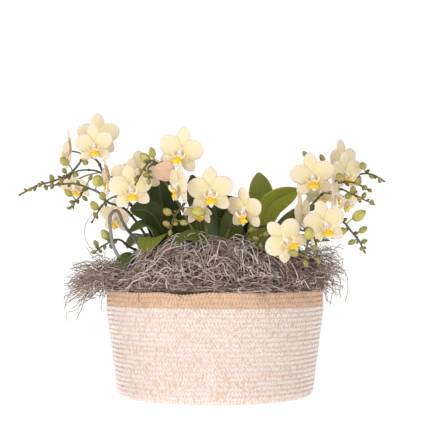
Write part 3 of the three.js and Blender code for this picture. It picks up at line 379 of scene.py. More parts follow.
# LEAVES
# Thick strap leaves that leave each short crown in two ranks, folded along the midrib and arching over.
# They are dark, glossy green above and paler below, with faint lengthwise veins.
LEAVES = {  # width, the side that its face looks to, its middle line, and how pale it is: partly its own paler green, partly painted light and sheen
    "left": [
        (33, (0.1, -1, 0.35), [(-46, 24, 130), (-58, 8, 182), (-76, -4, 211), (-98, -10, 214)], 0.1),
        (22, (-0.2, -0.5, 1), [(-46, 24, 128), (-62, 2, 166), (-80, -14, 196), (-99, -22, 188)], 0.2),
        (38, (-0.3, -0.4, 1), [(-46, 20, 126), (-53, 0, 164), (-68, -34, 181), (-76, -62, 164)], 0.5),
        (38, (0, -1, 0.3), [(-46, 30, 130), (-52, 40, 184), (-64, 42, 226), (-68, 38, 260)], 0.05),
        (40, (0.1, -1, 0.3), [(-46, 28, 128), (-36, 36, 170), (-18, 42, 204), (5, 45, 227)], 0.1),
        (30, (-0.4, 0.3, 1), [(-48, 28, 126), (-68, 50, 172), (-88, 72, 186), (-108, 88, 170)], 0.3),
        (28, (0, 0.4, 1), [(-44, 32, 126), (-40, 60, 172), (-36, 88, 190), (-32, 112, 178)], 0.3),
        (20, (-0.3, -0.9, 0.8), [(-58, 12, 132), (-76, -16, 148), (-93, -44, 159), (-110, -64, 151)], 0.1),
    ],
    "right": [
        (33, (0, -1, 0.2), [(45, 28, 130), (48, 32, 180), (55, 36, 222), (52, 36, 260)], 0.62),
        (33, (0.35, -1, -0.5), [(46, 24, 130), (50, 8, 190), (64, -4, 221), (96, -14, 238)], 1.0),
        (24, (0.3, -0.6, 1), [(48, 27, 128), (72, 32, 178), (98, 27, 210), (124, 18, 218)], 0.2),
        (40, (-0.15, -1, 0.3), [(46, 26, 128), (40, 18, 168), (24, 10, 204), (6, 6, 230)], 0.1),
        (30, (-0.2, -0.8, 0.6), [(46, 22, 126), (36, 10, 160), (18, 2, 186), (-4, 0, 202)], 0.15),
        (30, (0.4, 0.3, 1), [(48, 30, 126), (66, 56, 172), (84, 78, 186), (102, 94, 170)], 0.3),
        (26, (0, 0.4, 1), [(44, 32, 126), (38, 62, 170), (24, 88, 184), (10, 108, 174)], 0.3),
    ],
    "front": [
        (25, (0, -0.35, 1), [(3, -54, 130), (26, -66, 163), (66, -68, 177), (128, -52, 178)], 0.35),
        (22, (-0.1, -0.6, 1), [(-2, -58, 130), (-10, -71, 168), (-24, -76, 182), (-46, -71, 178)], 0.25),
        (26, (0.2, -1, 0.6), [(3, -48, 130), (14, -27, 180), (26, -15, 210), (44, -7, 224)], 0.15),
        (26, (-0.2, -1, 0.3), [(-1, -48, 130), (-6, -27, 185), (-18, -18, 222), (-27, -16, 254)], 0.1),
    ],
}
CROWN_RADIUS = 8
CROWN_FOOT = 84
CROWN_TOP = 146
POT_RING = 52.6
PLANT_TURNS = {"left": 150, "right": 30, "front": 270}
LEAF_WIDTHS = [(0, 0.3), (0.12, 0.42), (0.3, 0.7), (0.5, 0.95), (0.66, 1.0), (0.8, 0.93), (0.9, 0.72),
               (0.96, 0.45), (1, 0.08)]
LEAF_ROWS = 44


def unit(vectors):
    """Vectors brought to length one."""
    return vectors / np.maximum(np.linalg.norm(vectors, axis=-1, keepdims=True), 1e-9)


def smooth_line(points, count):
    """Points on a centripetal curve through the given ones, evenly spaced or at given shares of it."""
    given = np.asarray(points, dtype=float)
    padded = np.vstack([2 * given[0] - given[1], given, 2 * given[-1] - given[-2]])
    dense = []
    for i in range(len(given) - 1):
        p0, p1, p2, p3 = padded[i:i + 4]
        d0, d1, d2 = (max(np.linalg.norm(b - a) ** 0.5, 1e-4) for a, b in ((p0, p1), (p1, p2), (p2, p3)))
        t1 = ((p1 - p0) / d0 - (p2 - p0) / (d0 + d1) + (p2 - p1) / d1) * d1
        t2 = ((p2 - p1) / d1 - (p3 - p1) / (d1 + d2) + (p3 - p2) / d2) * d1
        t = np.linspace(0, 1, 24, endpoint=i == len(given) - 2)[:, None]
        bend = (-3 * p1 + 3 * p2 - 2 * t1 - t2) * t ** 2 + (2 * p1 - 2 * p2 + t1 + t2) * t ** 3
        dense.append(p1 + t1 * t + bend)
    dense = np.vstack(dense)
    reach = np.concatenate([[0], np.cumsum(np.linalg.norm(np.diff(dense, axis=0), axis=1))])
    wanted = np.linspace(0, reach[-1], count) if np.isscalar(count) else np.asarray(count) * reach[-1]
    return np.stack([np.interp(wanted, reach, dense[:, axis]) for axis in range(3)], axis=1)


def ease(share, stops):
    """A soft curve through pairs of share and value."""
    fine = np.linspace(0, 1, 81)
    rough = np.interp(fine, *zip(*stops))
    soft = np.convolve(np.pad(rough, 2, mode="edge"), np.array([1, 2, 3, 2, 1]) / 9, mode="valid")
    soft[0], soft[-1] = rough[0], rough[-1]
    return np.interp(share, fine, soft)


def plate(surface, thickness):
    """A closed thin blade: a grid of points doubled along its normals, with the rim walled in."""
    rows, columns = surface.shape[:2]
    normal = unit(np.cross(np.gradient(surface, axis=1), np.gradient(surface, axis=0)))
    half = normal * (np.broadcast_to(thickness, (rows, columns))[..., None] / 2)
    points = np.concatenate([(surface + half).reshape(-1, 3), (surface - half).reshape(-1, 3)])
    grid = np.arange(rows * columns).reshape(rows, columns)
    top = np.stack([grid[:-1, :-1], grid[:-1, 1:], grid[1:, 1:], grid[1:, :-1]], axis=-1).reshape(-1, 4)
    rim = np.concatenate([grid[0, :-1], grid[:-1, -1], grid[-1, :0:-1], grid[:0:-1, 0]])
    after = np.roll(rim, -1)
    wall = np.stack([after, rim, rim + rows * columns, after + rows * columns], axis=1)
    uv = np.stack(np.meshgrid(np.linspace(0, 1, columns), np.linspace(0, 1, rows)), axis=-1).reshape(-1, 2)
    return points, np.concatenate([top, top[:, ::-1] + rows * columns, wall]), np.concatenate([uv, uv])


def blade(path, share, facing, side, rise, thickness):
    """A thin blade along a path: side and rise say how far its points lie from the path."""
    middle = smooth_line(path, share)
    along = unit(np.gradient(middle, axis=0))
    across = unit(np.cross(facing, along))
    normal = np.cross(along, across)
    surface = middle[:, None] + across[:, None] * side[..., None] + normal[:, None] * rise[..., None]
    return plate(surface, thickness)


def gather(parts):
    """Several part meshes as one: points, faces, named values and UVs."""
    points, faces, uvs, values, start = [], [], [], {}, 0
    for part_points, part_faces, part_uv, part_values in parts:
        points.append(part_points)
        faces.extend((np.asarray(face) + start).tolist() for face in part_faces)
        uvs.append(part_uv)
        for key, column in part_values.items():
            values.setdefault(key, []).append(np.broadcast_to(column, len(part_points)))
        start += len(part_points)
    joined = {key: np.concatenate(columns) for key, columns in values.items()}
    return np.concatenate(points), faces, joined, np.concatenate(uvs)


def closed_tube(rings, sides):
    """Faces of a tube of rings, with a face over each end."""
    numbers = range(rings * sides)
    return [*tube_faces(rings, sides), tuple(numbers[:sides])[::-1], tuple(numbers[-sides:])]


def strap_leaf(width, facing, path, pale, number):
    """One leaf: rounded shoulders, a keeled midrib, a slight wave at the edges and a notched tip."""
    share = 1 - (1 - np.linspace(0, 1, LEAF_ROWS)) ** 1.35
    half = width * ease(share, LEAF_WIDTHS)[:, None] / 2
    t = np.linspace(-1, 1, 17)
    fold = 0.22 * half * (np.abs(t) ** 1.2 - 0.10 * np.exp(-(t / 0.10) ** 2))
    down = share[:, None]
    wave = 0.7 * np.abs(t) ** 3 * np.sin(down * 9 + number * 2.1 + t) * np.minimum(1, 3 * down)
    thick = (1.9 - 1.1 * np.abs(t) ** 2.5) * np.linspace(1.25, 0.8, LEAF_ROWS)[:, None]
    points, faces, uv = blade(path, share, facing, half * t, fold + wave, thick)
    under = np.repeat([1.0, 0.0], len(points) // 2)
    return points, faces, uv, {"under": under, "pale": pale, "shade": 0.3 + 0.45 * (number * 0.37 % 1.0)}


def leaf_base(plant):
    """The short crown, wrapped in the sheaths of old leaves."""
    t, z = np.meshgrid(np.linspace(0, math.tau, 24, endpoint=False), np.linspace(CROWN_FOOT, CROWN_TOP, 22))
    shoulder = np.sqrt(np.clip((CROWN_TOP + 1 - z) / 9, 0.05, 1))
    radius = CROWN_RADIUS * (1 + 0.06 * np.sin(2 * t + z * 0.2)) * shoulder
    points = around(radius, t, z) + around(POT_RING, math.radians(PLANT_TURNS[plant]), 0)
    uv = np.tile((0.5, 0.05), (t.size, 1))
    return points.reshape(-1, 3), closed_tube(22, 24), uv, {"under": 0.3, "pale": 0.4, "shade": 0.525}


# Shared effect: blotches that vary a value, and their height.
mottling, given, result = make_group(
    "mottling", {"Value": "Float", "Scale": "Float", "Detail": "Float", "Amount": "Float"},
    {"Value": "Float", "Height": "Float"})
spots = noise(mottling, add_node(mottling, "TexCoord")["Object"], given["Scale"], given["Detail"])
level = reckon(mottling, "MULTIPLY_ADD", spots, given["Amount"], given["Value"])
level = reckon(mottling, "MULTIPLY_ADD", given["Amount"], -0.5, level)
set_inputs(mottling, result, {"Value": level, "Height": spots})

# Shared effect: lengthwise veins of a blade, how far a place is from its midrib, and how far along it.
blade_lines, given, result = make_group(
    "blade_lines", {"Scale": "Vector", "Detail": "Float"},
    {"Veins": "Float", "Off Middle": "Float", "Along": "Float"})
uv = add_node(blade_lines, "UVMap", uv_map="surface")["UV"]
place = add_node(blade_lines, "SeparateXYZ", {0: uv})
drawn = add_node(blade_lines, "VectorMath", {0: uv, 1: given["Scale"]}, operation="MULTIPLY")[0]
veins = noise(blade_lines, drawn, 1.0, given["Detail"], dimensions="2D")
off_middle = reckon(blade_lines, "ABSOLUTE", reckon(blade_lines, "SUBTRACT", place["X"], 0.5))
set_inputs(blade_lines, result, {"Veins": veins, "Off Middle": off_middle, "Along": place["Y"]})


def mottled(tree, name, scale, detail, amount):
    """A value of the mesh with blotches in it, and their height."""
    values = {"Value": painted(tree, name), "Scale": scale, "Detail": detail, "Amount": amount}
    return add_node(tree, "Group", values, node_tree=mottling)


def spread(tree, value, low, high, first, last):
    """A value between two limits, drawn to run from a first level to a last one."""
    limits = {"Value": value, "From Min": low, "From Max": high, "To Min": first, "To Max": last}
    return add_node(tree, "MapRange", limits)[0]


def leaf_material():
    """Waxy green with a lighter midrib, fine veins and a paler underside. Lit leaves are mixed towards a pale
    green, which is partly their own paler tone and partly painted light and sheen.
    """
    material, tree = start_material("leaf", Roughness=0.42, Specular_IOR_Level=0.25, Coat_Weight=0.03,
                                    Coat_Roughness=0.2)
    lines = add_node(tree, "Group", {"Scale": (46.0, 1.5, 1.0), "Detail": 2.0}, node_tree=blade_lines)
    shades = [(0.3, 0.014, 0.028, 0.005), (0.75, 0.050, 0.078, 0.012)]
    skin = ramp(tree, mottled(tree, "shade", 28.0, 3.0, 1.0)["Value"], shades)
    # Leaves that catch the light are mixed towards this pale green: partly their own paler tone, partly
    # painted light and sheen.
    skin = mix(tree, painted(tree, "pale"), skin, colour((0.34, 0.37, 0.045)))
    streaks = ramp(tree, lines["Veins"], [(0.35, 0.72, 0.75, 0.7), (0.65, 1.15, 1.15, 1.1)])
    skin = mix(tree, 0.8, skin, streaks, "MULTIPLY")
    midrib = spread(tree, lines["Off Middle"], 0.012, 0.035, 0.55, 0.0)
    skin = mix(tree, midrib, skin, colour((0.15, 0.19, 0.04)))
    under = reckon(tree, "MULTIPLY", painted(tree, "under"), 0.6)
    skin = mix(tree, under, skin, colour((0.12, 0.14, 0.035)))
    return dress(material, Base_Color=skin, Normal=relief(tree, lines["Veins"], 0.25, 0.4))


green = leaf_material()
for plant, leaves in LEAVES.items():
    parts = [*(strap_leaf(*entry, number) for number, entry in enumerate(leaves)), leaf_base(plant)]
    place_piece(make_piece(f"leaves_{plant}", *gather(parts)), f"leafy_stem_{plant}", green)

# FLOWER SPIKES
# Thin arching stems grow from the crowns, branch near the tip, and carry buds and blooms on short curved
# stalks. Each joint has a small scale leaf. Buds are yellow-green, and the smallest are tinged with brown.
STEM_RADIUS = 1.6
BRANCH_RADIUS = 1.1
BRANCH_POINTS = 22
STALK_RADIUS = 0.75
STALK_TURN = 11
HUB_BACK = 3.3
LEAFY_SHARE = 0.36
BLOOMS = [  # from bloom_01 on: its middle, yaw, pitch, roll, size, and how far its petals reach forward
    ((-136, 0, 302), 4, 4, -2, 1.0, 0.1), ((-138, -24, 289), -8, -4, -4, 0.92, 0.22),
    ((-169, -8, 282), -76, 2, -6, 1.0, 0.26), ((-123, -20, 251), -80, -8, -6, 1.0, 0.26),
    ((-94, -62, 237), 4, 2, -8, 1.0, 0.14), ((-97, -36, 250), -6, 0, 10, 0.9, 0.1),
    ((-86, -6, 258), 8, 0, -12, 1.0, 0.1), ((-38, -60, 279), -10, -4, 14, 1.05, 0.1),
    ((-40, -76, 240), -66, -6, 16, 1.0, 0.08), ((-5, -80, 233), 2, 0, -2, 1.05, 0.08),
    ((33, -70, 213), -38, -14, 4, 0.98, 0.14), ((110, -44, 252), -4, 0, -7, 1.03, 0.08),
    ((152, 30, 274), 44, 2, -6, 1.0, 0.12), ((151, -6, 258), 34, -4, -4, 0.95, 0.18),
    ((124, 8, 236), -10, -50, 0, 0.95, 0.14), ((134, -54, 231), 74, 0, -10, 0.85, 0.1),
    ((155, 2, 226), 56, -30, 0, 0.8, 0.2), ((98, -48, 209), 64, 0, -14, 0.95, 0.1),
    ((120, -86, 197), 16, 2, -12, 1.0, 0.1), ((75, -106, 179), 12, 0, -46, 0.98, 0.1),
    ((-18, -62, 212), -10, -48, 0, 0.72, 0.55), ((-118, 32, 208), -30, -20, 10, 0.85, 0.2),
    ((-165, 14, 244), -20, -50, 0, 0.85, 0.25),
]
SPIKES = {  # the route of the stem, its branches, its buds with their radii, and the numbers of its blooms
    "spike_left_high": (
        [(-52, 28, 142), (-67, 30, 174), (-88, 26, 208), (-111, 16, 233), (-129, 8, 254), (-136, -4, 270),
         (-143, -12, 275), (-151, -18, 274), (-158, -20, 264), (-168, -22, 254), (-184, -22, 247),
         (-204, -22, 241), (-224, -20, 231)],
        [[(-130, 6, 256), (-142, -8, 260), (-160, -16, 258), (-170, -20, 251), (-186, -24, 240)]],
        [(-171, -40, 268, 5.4), (-147, -37, 267, 4), (-172, -28, 258, 3.2), (-159, -27, 254, 3.4),
         (-187, -24, 250, 3.4), (-201, -24, 242, 3.2), (-212, -22, 237, 2.6), (-194, -20, 239, 2.6)],
        [1, 2, 3, 22, 23]),
    "spike_left_middle": (
        [(-52, 25, 134), (-70, 20, 164), (-87, 16, 193), (-102, 1, 213), (-113, -22, 219), (-122, -34, 222),
         (-131, -35, 232), (-144, -33, 238), (-160, -32, 243), (-177, -31, 242), (-194, -30, 240)],
        [[(-110, -18, 219), (-113, -36, 228), (-124, -46, 221), (-131, -50, 211), (-138, -52, 199)],
         [(-143, -33, 238), (-151, -35, 233), (-153, -37, 228), (-159, -38, 222), (-164, -40, 215)]],
        [(-131, -57, 245, 7.2), (-126, -55, 228, 4.6), (-135, -58, 217, 5.2), (-134, -55, 207, 3.4),
         (-166, -40, 232, 4.2), (-160, -44, 219, 2.6), (-165, -40, 215, 2.2), (-148, -34, 226, 3),
         (-142, -29, 250, 2.8), (-186, -30, 242, 2.6), (-175, -34, 246, 3)],
        [4, 5, 6, 7]),
    "spike_left_low": (
        [(-52, 24, 124), (-66, 18, 149), (-86, 8, 164), (-100, -14, 172), (-108, -30, 179),
         (-115, -36, 179), (-120, -38, 176), (-127, -40, 172), (-136, -42, 165)],
        [],
        [(-125, -30, 185, 5.6), (-134, -46, 175, 3.4), (-137, -42, 165, 2.6), (-118, -32, 172, 3),
         (-130, -36, 166, 2.4)],
        []),
    "spike_middle_left": (
        [(-6, -50, 128), (-20, -46, 178), (-42, -42, 222), (-58, -50, 248), (-64, -56, 264),
         (-71, -62, 267), (-78, -68, 259), (-83, -73, 250), (-88, -75, 240)],
        [[(-71, -62, 267), (-74, -70, 258), (-73, -74, 246)]],
        [(-78, -58, 270, 6), (-70, -62, 276, 4.6), (-82, -74, 255, 3), (-76, -74, 250, 3.2),
         (-87, -75, 245, 2.8), (-73, -75, 243, 3)],
        [8]),
    "spike_middle": (
        [(-6, -53, 142), (-9, -50, 182), (-13, -51, 212), (-25, -62, 227), (-32, -70, 221), (-38, -78, 213),
         (-45, -84, 203), (-49, -88, 188)],
        [],
        [(-52, -92, 209, 4.6), (-18, -90, 209, 6.6), (-53, -92, 196, 3.8), (-34, -90, 197, 3.8),
         (-43, -90, 196, 2.8), (-49, -88, 186, 2.8)],
        [9, 10, 21]),
    "spike_middle_right": (
        [(6, -48, 142), (13, -45, 182), (26, -46, 208), (38, -51, 215), (45, -57, 207), (47, -65, 195),
         (49, -77, 183), (50, -85, 175)],
        [],
        [(41, -62, 190, 4.2), (45, -84, 180, 3.2), (50, -88, 172, 2.8), (57, -80, 185, 3.4)],
        [11]),
    "spike_right_high": (
        [(50, 32, 140), (62, 44, 172), (86, 50, 200), (116, 46, 228), (142, 34, 244), (160, 21, 251),
         (172, 13, 257), (184, 8, 256), (197, 4, 248)],
        [],
        [(171, -10, 265, 5), (184, 9, 254, 3.4), (193, 6, 249, 3)],
        [13, 14, 15]),
    "spike_right_middle": (
        [(54, 25, 140), (67, 12, 162), (80, -2, 184), (100, -16, 206), (118, -27, 227), (134, -33, 241),
         (149, -36, 245), (162, -38, 242), (176, -40, 234)],
        [[(124, -29, 232), (142, -30, 237), (154, -42, 231), (166, -46, 225), (178, -50, 219)]],
        [(138, -66, 249, 5.2), (162, -42, 245, 4.4), (155, -50, 235, 4), (169, -44, 238, 3.6),
         (175, -42, 235, 2.8), (150, -48, 228, 4), (162, -52, 225, 3.4), (168, -46, 229, 3),
         (176, -50, 221, 2.8), (103, -34, 276, 3.6), (122, -34, 272, 3.6)],
        [12, 16, 17]),
    "spike_right_low": (
        [(53, 20, 126), (60, 11, 149), (70, 0, 160), (84, -14, 168), (110, -36, 184), (132, -52, 200),
         (144, -58, 198), (152, -61, 188), (160, -64, 178), (166, -66, 165)],
        [],
        [(161, -55, 206, 6.8), (165, -60, 190, 4.2), (141, -68, 188, 5), (152, -65, 176, 3.6),
         (166, -62, 177, 3.2), (163, -66, 169, 2.8)],
        [18, 19]),
    "spike_right_front": (
        [(6, -53, 130), (21, -50, 162), (37, -52, 186), (54, -64, 194), (72, -80, 192), (90, -88, 190),
         (104, -97, 185), (109, -106, 174), (110, -109, 160)],
        [[(104, -97, 185), (99, -108, 172), (96, -112, 158)]],
        [(101, -114, 185, 6.4), (84, -118, 164, 4.6), (107, -112, 170, 3.8), (97, -114, 153, 3.2),
         (111, -109, 156, 3)],
        [20]),
}


def round_stem(line, radii, sides=8):
    """A round stem along a line, closed at both ends."""
    line = np.asarray(line, dtype=float)
    count = len(line)
    radii = np.broadcast_to(radii, count)
    along = unit(np.gradient(line, axis=0))
    side = np.cross(along[0], (0.31, 0.87, 0.39))
    turn = np.arange(sides) * math.tau / sides
    rings = []
    for middle, radius, heading in zip(line, radii, along):
        side = unit(side - heading * side.dot(heading))
        other = np.cross(heading, side)
        rings.append(middle + radius * (np.outer(np.cos(turn), side) + np.outer(np.sin(turn), other)))
    points = np.concatenate([*rings, line[:1], line[-1:]])
    first, last = count * sides, count * sides + 1
    foot, head = ([(ring + i, ring + (i + 1) % sides) for i in range(sides)] for ring in (0, first - sides))
    faces = [*tube_faces(count, sides), *((first, b, a) for a, b in foot), *((last, a, b) for a, b in head)]
    share = np.concatenate([np.repeat(np.linspace(0, 1, count), sides), [0, 1]])
    return points, faces, np.stack([share * 0, share], axis=1)


def closest_on(lines, place):
    """The point of a spike's stems nearest to a place, past the leafy foot of the main stem."""
    best = lines[0][-1]
    for number, line in enumerate(lines):
        first = math.ceil(LEAFY_SHARE * (len(line) - 1)) if number == 0 else 0
        for a, b in zip(line[first:-1], line[first + 1:]):
            step = b - a
            t = np.clip((place - a).dot(step) / step.dot(step), 0, 1)
            if np.linalg.norm(a + t * step - place) < np.linalg.norm(best - place):
                best = a + t * step
    return best


def bloom_turn(yaw, pitch, roll):
    """Turn of a bloom: its face looks along its own z, its top sepal points along its own y."""
    turns = ((yaw, "Z"), (90 - pitch, "X"), (-roll, "Z"))
    yawed, pitched, rolled = (Matrix.Rotation(math.radians(angle), 3, axis) for angle, axis in turns)
    return np.array(yawed @ pitched @ rolled)


def bezier(points, count):
    """Points on a curve that starts at the first of four points and ends at the last."""
    a, b, c, d = (np.asarray(point, dtype=float) for point in points)
    t = np.linspace(0, 1, count)[:, None]
    return a * (1 - t) ** 3 + 3 * b * t * (1 - t) ** 2 + 3 * c * t ** 2 * (1 - t) + d * t ** 3


def bud_mesh(middle, radius, heading, ripe_and_furrow_shade, sides=15, rows=13):
    """A plump bud: three sepals meet in soft furrows, narrow at the stalk and blunt at the tip."""
    t, v = np.meshgrid(np.linspace(0, math.tau, sides, endpoint=False), np.linspace(0, 1, rows))
    furrow = (0.5 + 0.5 * np.cos(3 * t)) ** 3
    outline = np.sin(math.pi * v ** 0.86) ** 0.62 * (1 - 0.10 * v)
    ring = (0.94 * radius * outline * (1 - 0.10 * furrow * np.sin(math.pi * v)))[..., None]
    side = unit(np.cross(heading, (0.2, 0.3, 0.93)))
    other = np.cross(heading, side)
    out = ring * (np.cos(t)[..., None] * side + np.sin(t)[..., None] * other)
    points = middle + (radius * (-1.3 + 2.75 * v))[..., None] * heading + out
    for end, beside in ((0, 1), (-1, -2)):
        points[end] = points[end].mean(axis=0) + 0.02 * (points[beside] - points[beside].mean(axis=0))
    uv = np.stack([t.ravel() / math.tau, v.ravel()], axis=1)
    # The ripeness is lowered along the furrows, so they are painted darker: painted shade in the creases
    # between the sepals.
    return points.reshape(-1, 3), closed_tube(rows, sides), uv, {"ripe_and_furrow_shade": ripe_and_furrow_shade - 0.22 * furrow.ravel()}


def scale_leaf(line, index, radius):
    """The small papery sheath at a joint of the stem."""
    heading = unit(line[index + 1] - line[index])
    sheath = [line[index] + heading * along for along in (-1.6, -0.6, 0.8, 2.6)]
    return *round_stem(sheath, radius * np.array([1.02, 1.5, 1.35, 0.9])), {"fresh": 0.15}


def tip_buds(line, first, draw):
    """The youngest buds: small, brown and close together on both sides of the last joints."""
    made = []
    for index in range(first, len(line) - 1, 3):
        heading = unit(line[index + 1] - line[index])
        side = unit(np.cross(heading, (0.1 * draw.normal(), 1, 0.2 * draw.normal())))
        radius = draw.uniform(1.7, 2.5) * (1.15 - 0.4 * (index - first) / max(1, len(line) - first))
        outward = unit(side * (-1) ** len(made) + 0.9 * heading)
        middle = line[index] + outward * radius * 1.5
        made.append(bud_mesh(middle, radius, outward, draw.uniform(0.0, 0.3), 9, 8))
    return [*made, bud_mesh(line[-1], 1.5, unit(line[-1] - line[-2]), 0.05, 9, 8)]


def plant_skin(name, low, high, tip, value, roughness):
    """Smooth skin that runs from one tone to another, with fine mottling and a tip of its own tone."""
    material, tree = start_material(name, Roughness=roughness, Specular_IOR_Level=0.4)
    skin = mottled(tree, value, 160.0, 3.0, 0.5)
    along = add_node(tree, "SeparateXYZ", {0: add_node(tree, "UVMap", uv_map="surface")["UV"]})["Y"]
    tone = ramp(tree, skin["Value"], [(0, *low), (1, *high)])
    tone = mix(tree, spread(tree, along, 0.65, 1.0, 0.0, 0.6), tone, colour(tip))
    return dress(material, Base_Color=tone, Normal=relief(tree, skin["Height"], 0.15, 0.5))


stem_skin = plant_skin("stem", (0.07, 0.055, 0.022), (0.24, 0.25, 0.07), (0.12, 0.09, 0.035), "fresh", 0.5)
bud_skin = plant_skin("bud", (0.13, 0.095, 0.035), (0.53, 0.49, 0.11), (0.30, 0.17, 0.06), "ripe_and_furrow_shade", 0.4)
tip_draw = np.random.default_rng(11)
for name, (route, branches, bud_places, bloom_numbers) in SPIKES.items():
    lines = [smooth_line(route, len(route) + 1)]
    fine = smooth_line(route, 6 * len(route) + 1)
    taper = np.linspace(1.2, 0.62, len(fine)) * STEM_RADIUS
    stems = [(*round_stem(fine, taper), {"fresh": 0.35})]
    buds = tip_buds(fine, round(0.76 * len(fine)), tip_draw)
    stems += [scale_leaf(fine, index, taper[index]) for index in range(9, len(fine) - 4, 9)]
    for branch in branches:
        start = closest_on(lines[:1], np.array(branch[0], dtype=float))
        points = [tuple(start), *branch[1:]]
        lines.append(smooth_line(points, 6))
        fine = smooth_line(points, BRANCH_POINTS)
        taper = np.linspace(1.1, 0.7, BRANCH_POINTS) * BRANCH_RADIUS
        stems.append((*round_stem(fine, taper), {"fresh": 0.4}))
        stems += [scale_leaf(fine, index, BRANCH_RADIUS) for index in (7, 14)]
        buds += tip_buds(fine, 12, tip_draw)
    for *middle, radius in bud_places:
        foot = closest_on(lines, np.array(middle, dtype=float))
        away = middle - foot
        heading = unit(away if np.linalg.norm(away) >= 1 else lines[0][-1] - lines[0][-2])
        buds.append(bud_mesh(np.array(middle, dtype=float), radius, heading, min(1.0, 0.18 * radius - 0.1)))
        sag = np.array((0, 0, 0.12 * np.linalg.norm(away)))
        arc = bezier([foot, foot + 0.3 * away + sag, foot + 0.7 * away + sag, middle], 8)
        stems.append((*round_stem(arc, np.linspace(0.9, 1.15, 8) * STALK_RADIUS, 7), {"fresh": 0.9}))
    for number in bloom_numbers:
        at, yaw, pitch, roll, size, reach = BLOOMS[number - 1]
        facing = bloom_turn(yaw, pitch, roll)[:, 2]
        end = np.array(at) - facing * HUB_BACK
        bend = end - facing * STALK_TURN
        foot = closest_on(lines, bend)
        stalk = bezier([foot, foot * 0.6 + bend * 0.4, bend, end], 14)
        stems.append((*round_stem(stalk, np.linspace(0.9, 1.3, 14) * STALK_RADIUS, 7), {"fresh": 1.0}))
    place_piece(make_piece(f"{name}_stems", *gather(stems)), name, stem_skin)
    place_piece(make_piece(f"{name}_buds", *gather(buds)), name, bud_skin)

# BLOOMS
# Three sepals stand behind two wider petals, all thin, pale cream yellow and softly ribbed. The lip has a
# golden, anchor-shaped middle lobe with a white tip, and two white side lobes that curl up by the column.
LOBE_LENGTH = 25
SEPAL_SHAPE = [(0, 0.30), (0.12, 0.55), (0.3, 0.9), (0.5, 1.0), (0.7, 0.93), (0.85, 0.7), (0.94, 0.45),
               (1, 0.12)]
PETAL_SHAPE = [(0, 0.2), (0.12, 0.44), (0.25, 0.8), (0.4, 0.99), (0.52, 1.0), (0.66, 0.94), (0.78, 0.82),
               (0.88, 0.63), (0.95, 0.42), (1, 0.1)]
TEPALS = [  # angle, length, width, lift and outline
    (-48, 26, 15.5, -2.0, SEPAL_SHAPE), (90, 25.5, 16, -2.0, SEPAL_SHAPE), (228, 26, 15.5, -2.0, SEPAL_SHAPE),
    (14, 25, 22, 0.2, PETAL_SHAPE), (166, 25, 22, 0.2, PETAL_SHAPE),
]
TEPAL_ROWS = 20
FRONT_LOBE = [(0, 1.8), (0.18, 2.6), (0.34, 5.6), (0.48, 6.8), (0.6, 5.4), (0.72, 3.0), (0.88, 1.6), (1, 0.4)]
SIDE_LOBE = [(0, 1.3), (0.3, 1.6), (0.6, 2.0), (0.85, 1.7), (1, 0.5)]
THROAT = [(0, 2.4), (0.5, 3.4), (0.8, 2.8), (1, 1.6)]


def tepal(angle, length, width, lift, shape, size, reach, draw):
    """One sepal or petal: a shallow spoon, creased at the midrib, with a wave of its own at the edge."""
    share = 1 - (1 - np.linspace(0, 1, TEPAL_ROWS)) ** 1.4
    down = share[:, None]
    t = np.linspace(-1, 1, 13)
    heading = math.radians(angle + draw.normal(0, 2.2))
    along = np.array((math.cos(heading), math.sin(heading)))
    across = np.array((-along[1], along[0]))
    half = (width * size * ease(share, shape) / 2 * draw.uniform(0.96, 1.04))[:, None]
    distance = length * size * down
    drawn_in = 1 - 0.35 * reach ** 2 * np.minimum(1, distance / LOBE_LENGTH)
    spoon = -0.13 * half * t ** 2 - 0.35 * np.exp(-(t / 0.12) ** 2) * np.minimum(1, 4 * down)
    curl = -1.9 * size * down ** 3 + 1.2 * size * np.sin(math.pi * down)
    phase = draw.uniform(0, math.tau, 3)[0]
    wave = 0.55 * size * t ** 2 * np.sin(5.5 * down + phase + 1.4 * t) * down
    twist = 0.9 * draw.normal(0, 0.5) * t * down
    z = lift + reach * distance ** 2 / (LOBE_LENGTH * size) + spoon + curl + wave + twist
    flat = (distance * drawn_in)[..., None] * along + (half * drawn_in * t)[..., None] * across
    thick = (0.9 - 0.45 * t ** 2) * np.linspace(1.15, 0.8, TEPAL_ROWS)[:, None]
    draw.uniform(0, 1)  # one draw more, which keeps the next tepal as it is
    return *plate(np.concatenate([flat, z[..., None]], axis=2), thick), {}


def lip_lobe(path, widths, arch, facing, stripe, gold):
    """A lobe of the lip from its middle line, its half widths, how far it arches and where it is golden."""
    share, t = np.linspace(0, 1, 16), np.linspace(-1, 1, 9)
    half = ease(share, widths)[:, None]
    points, faces, uv = blade(path, share, facing, half * t, -arch * half * t ** 2, 0.75)
    return points, faces, uv, {"gold": np.clip(gold(*uv.T), 0, 1), "stripe": stripe}


def side_gold(across, along):
    """Golden at the foot of a side lobe and along its edges."""
    edge = np.clip((np.abs(across - 0.5) * 2 - 0.35) * 2.4, 0, 1)
    return edge * (1 - 0.35 * along) + np.clip(0.9 - 3 * along, 0, 1)


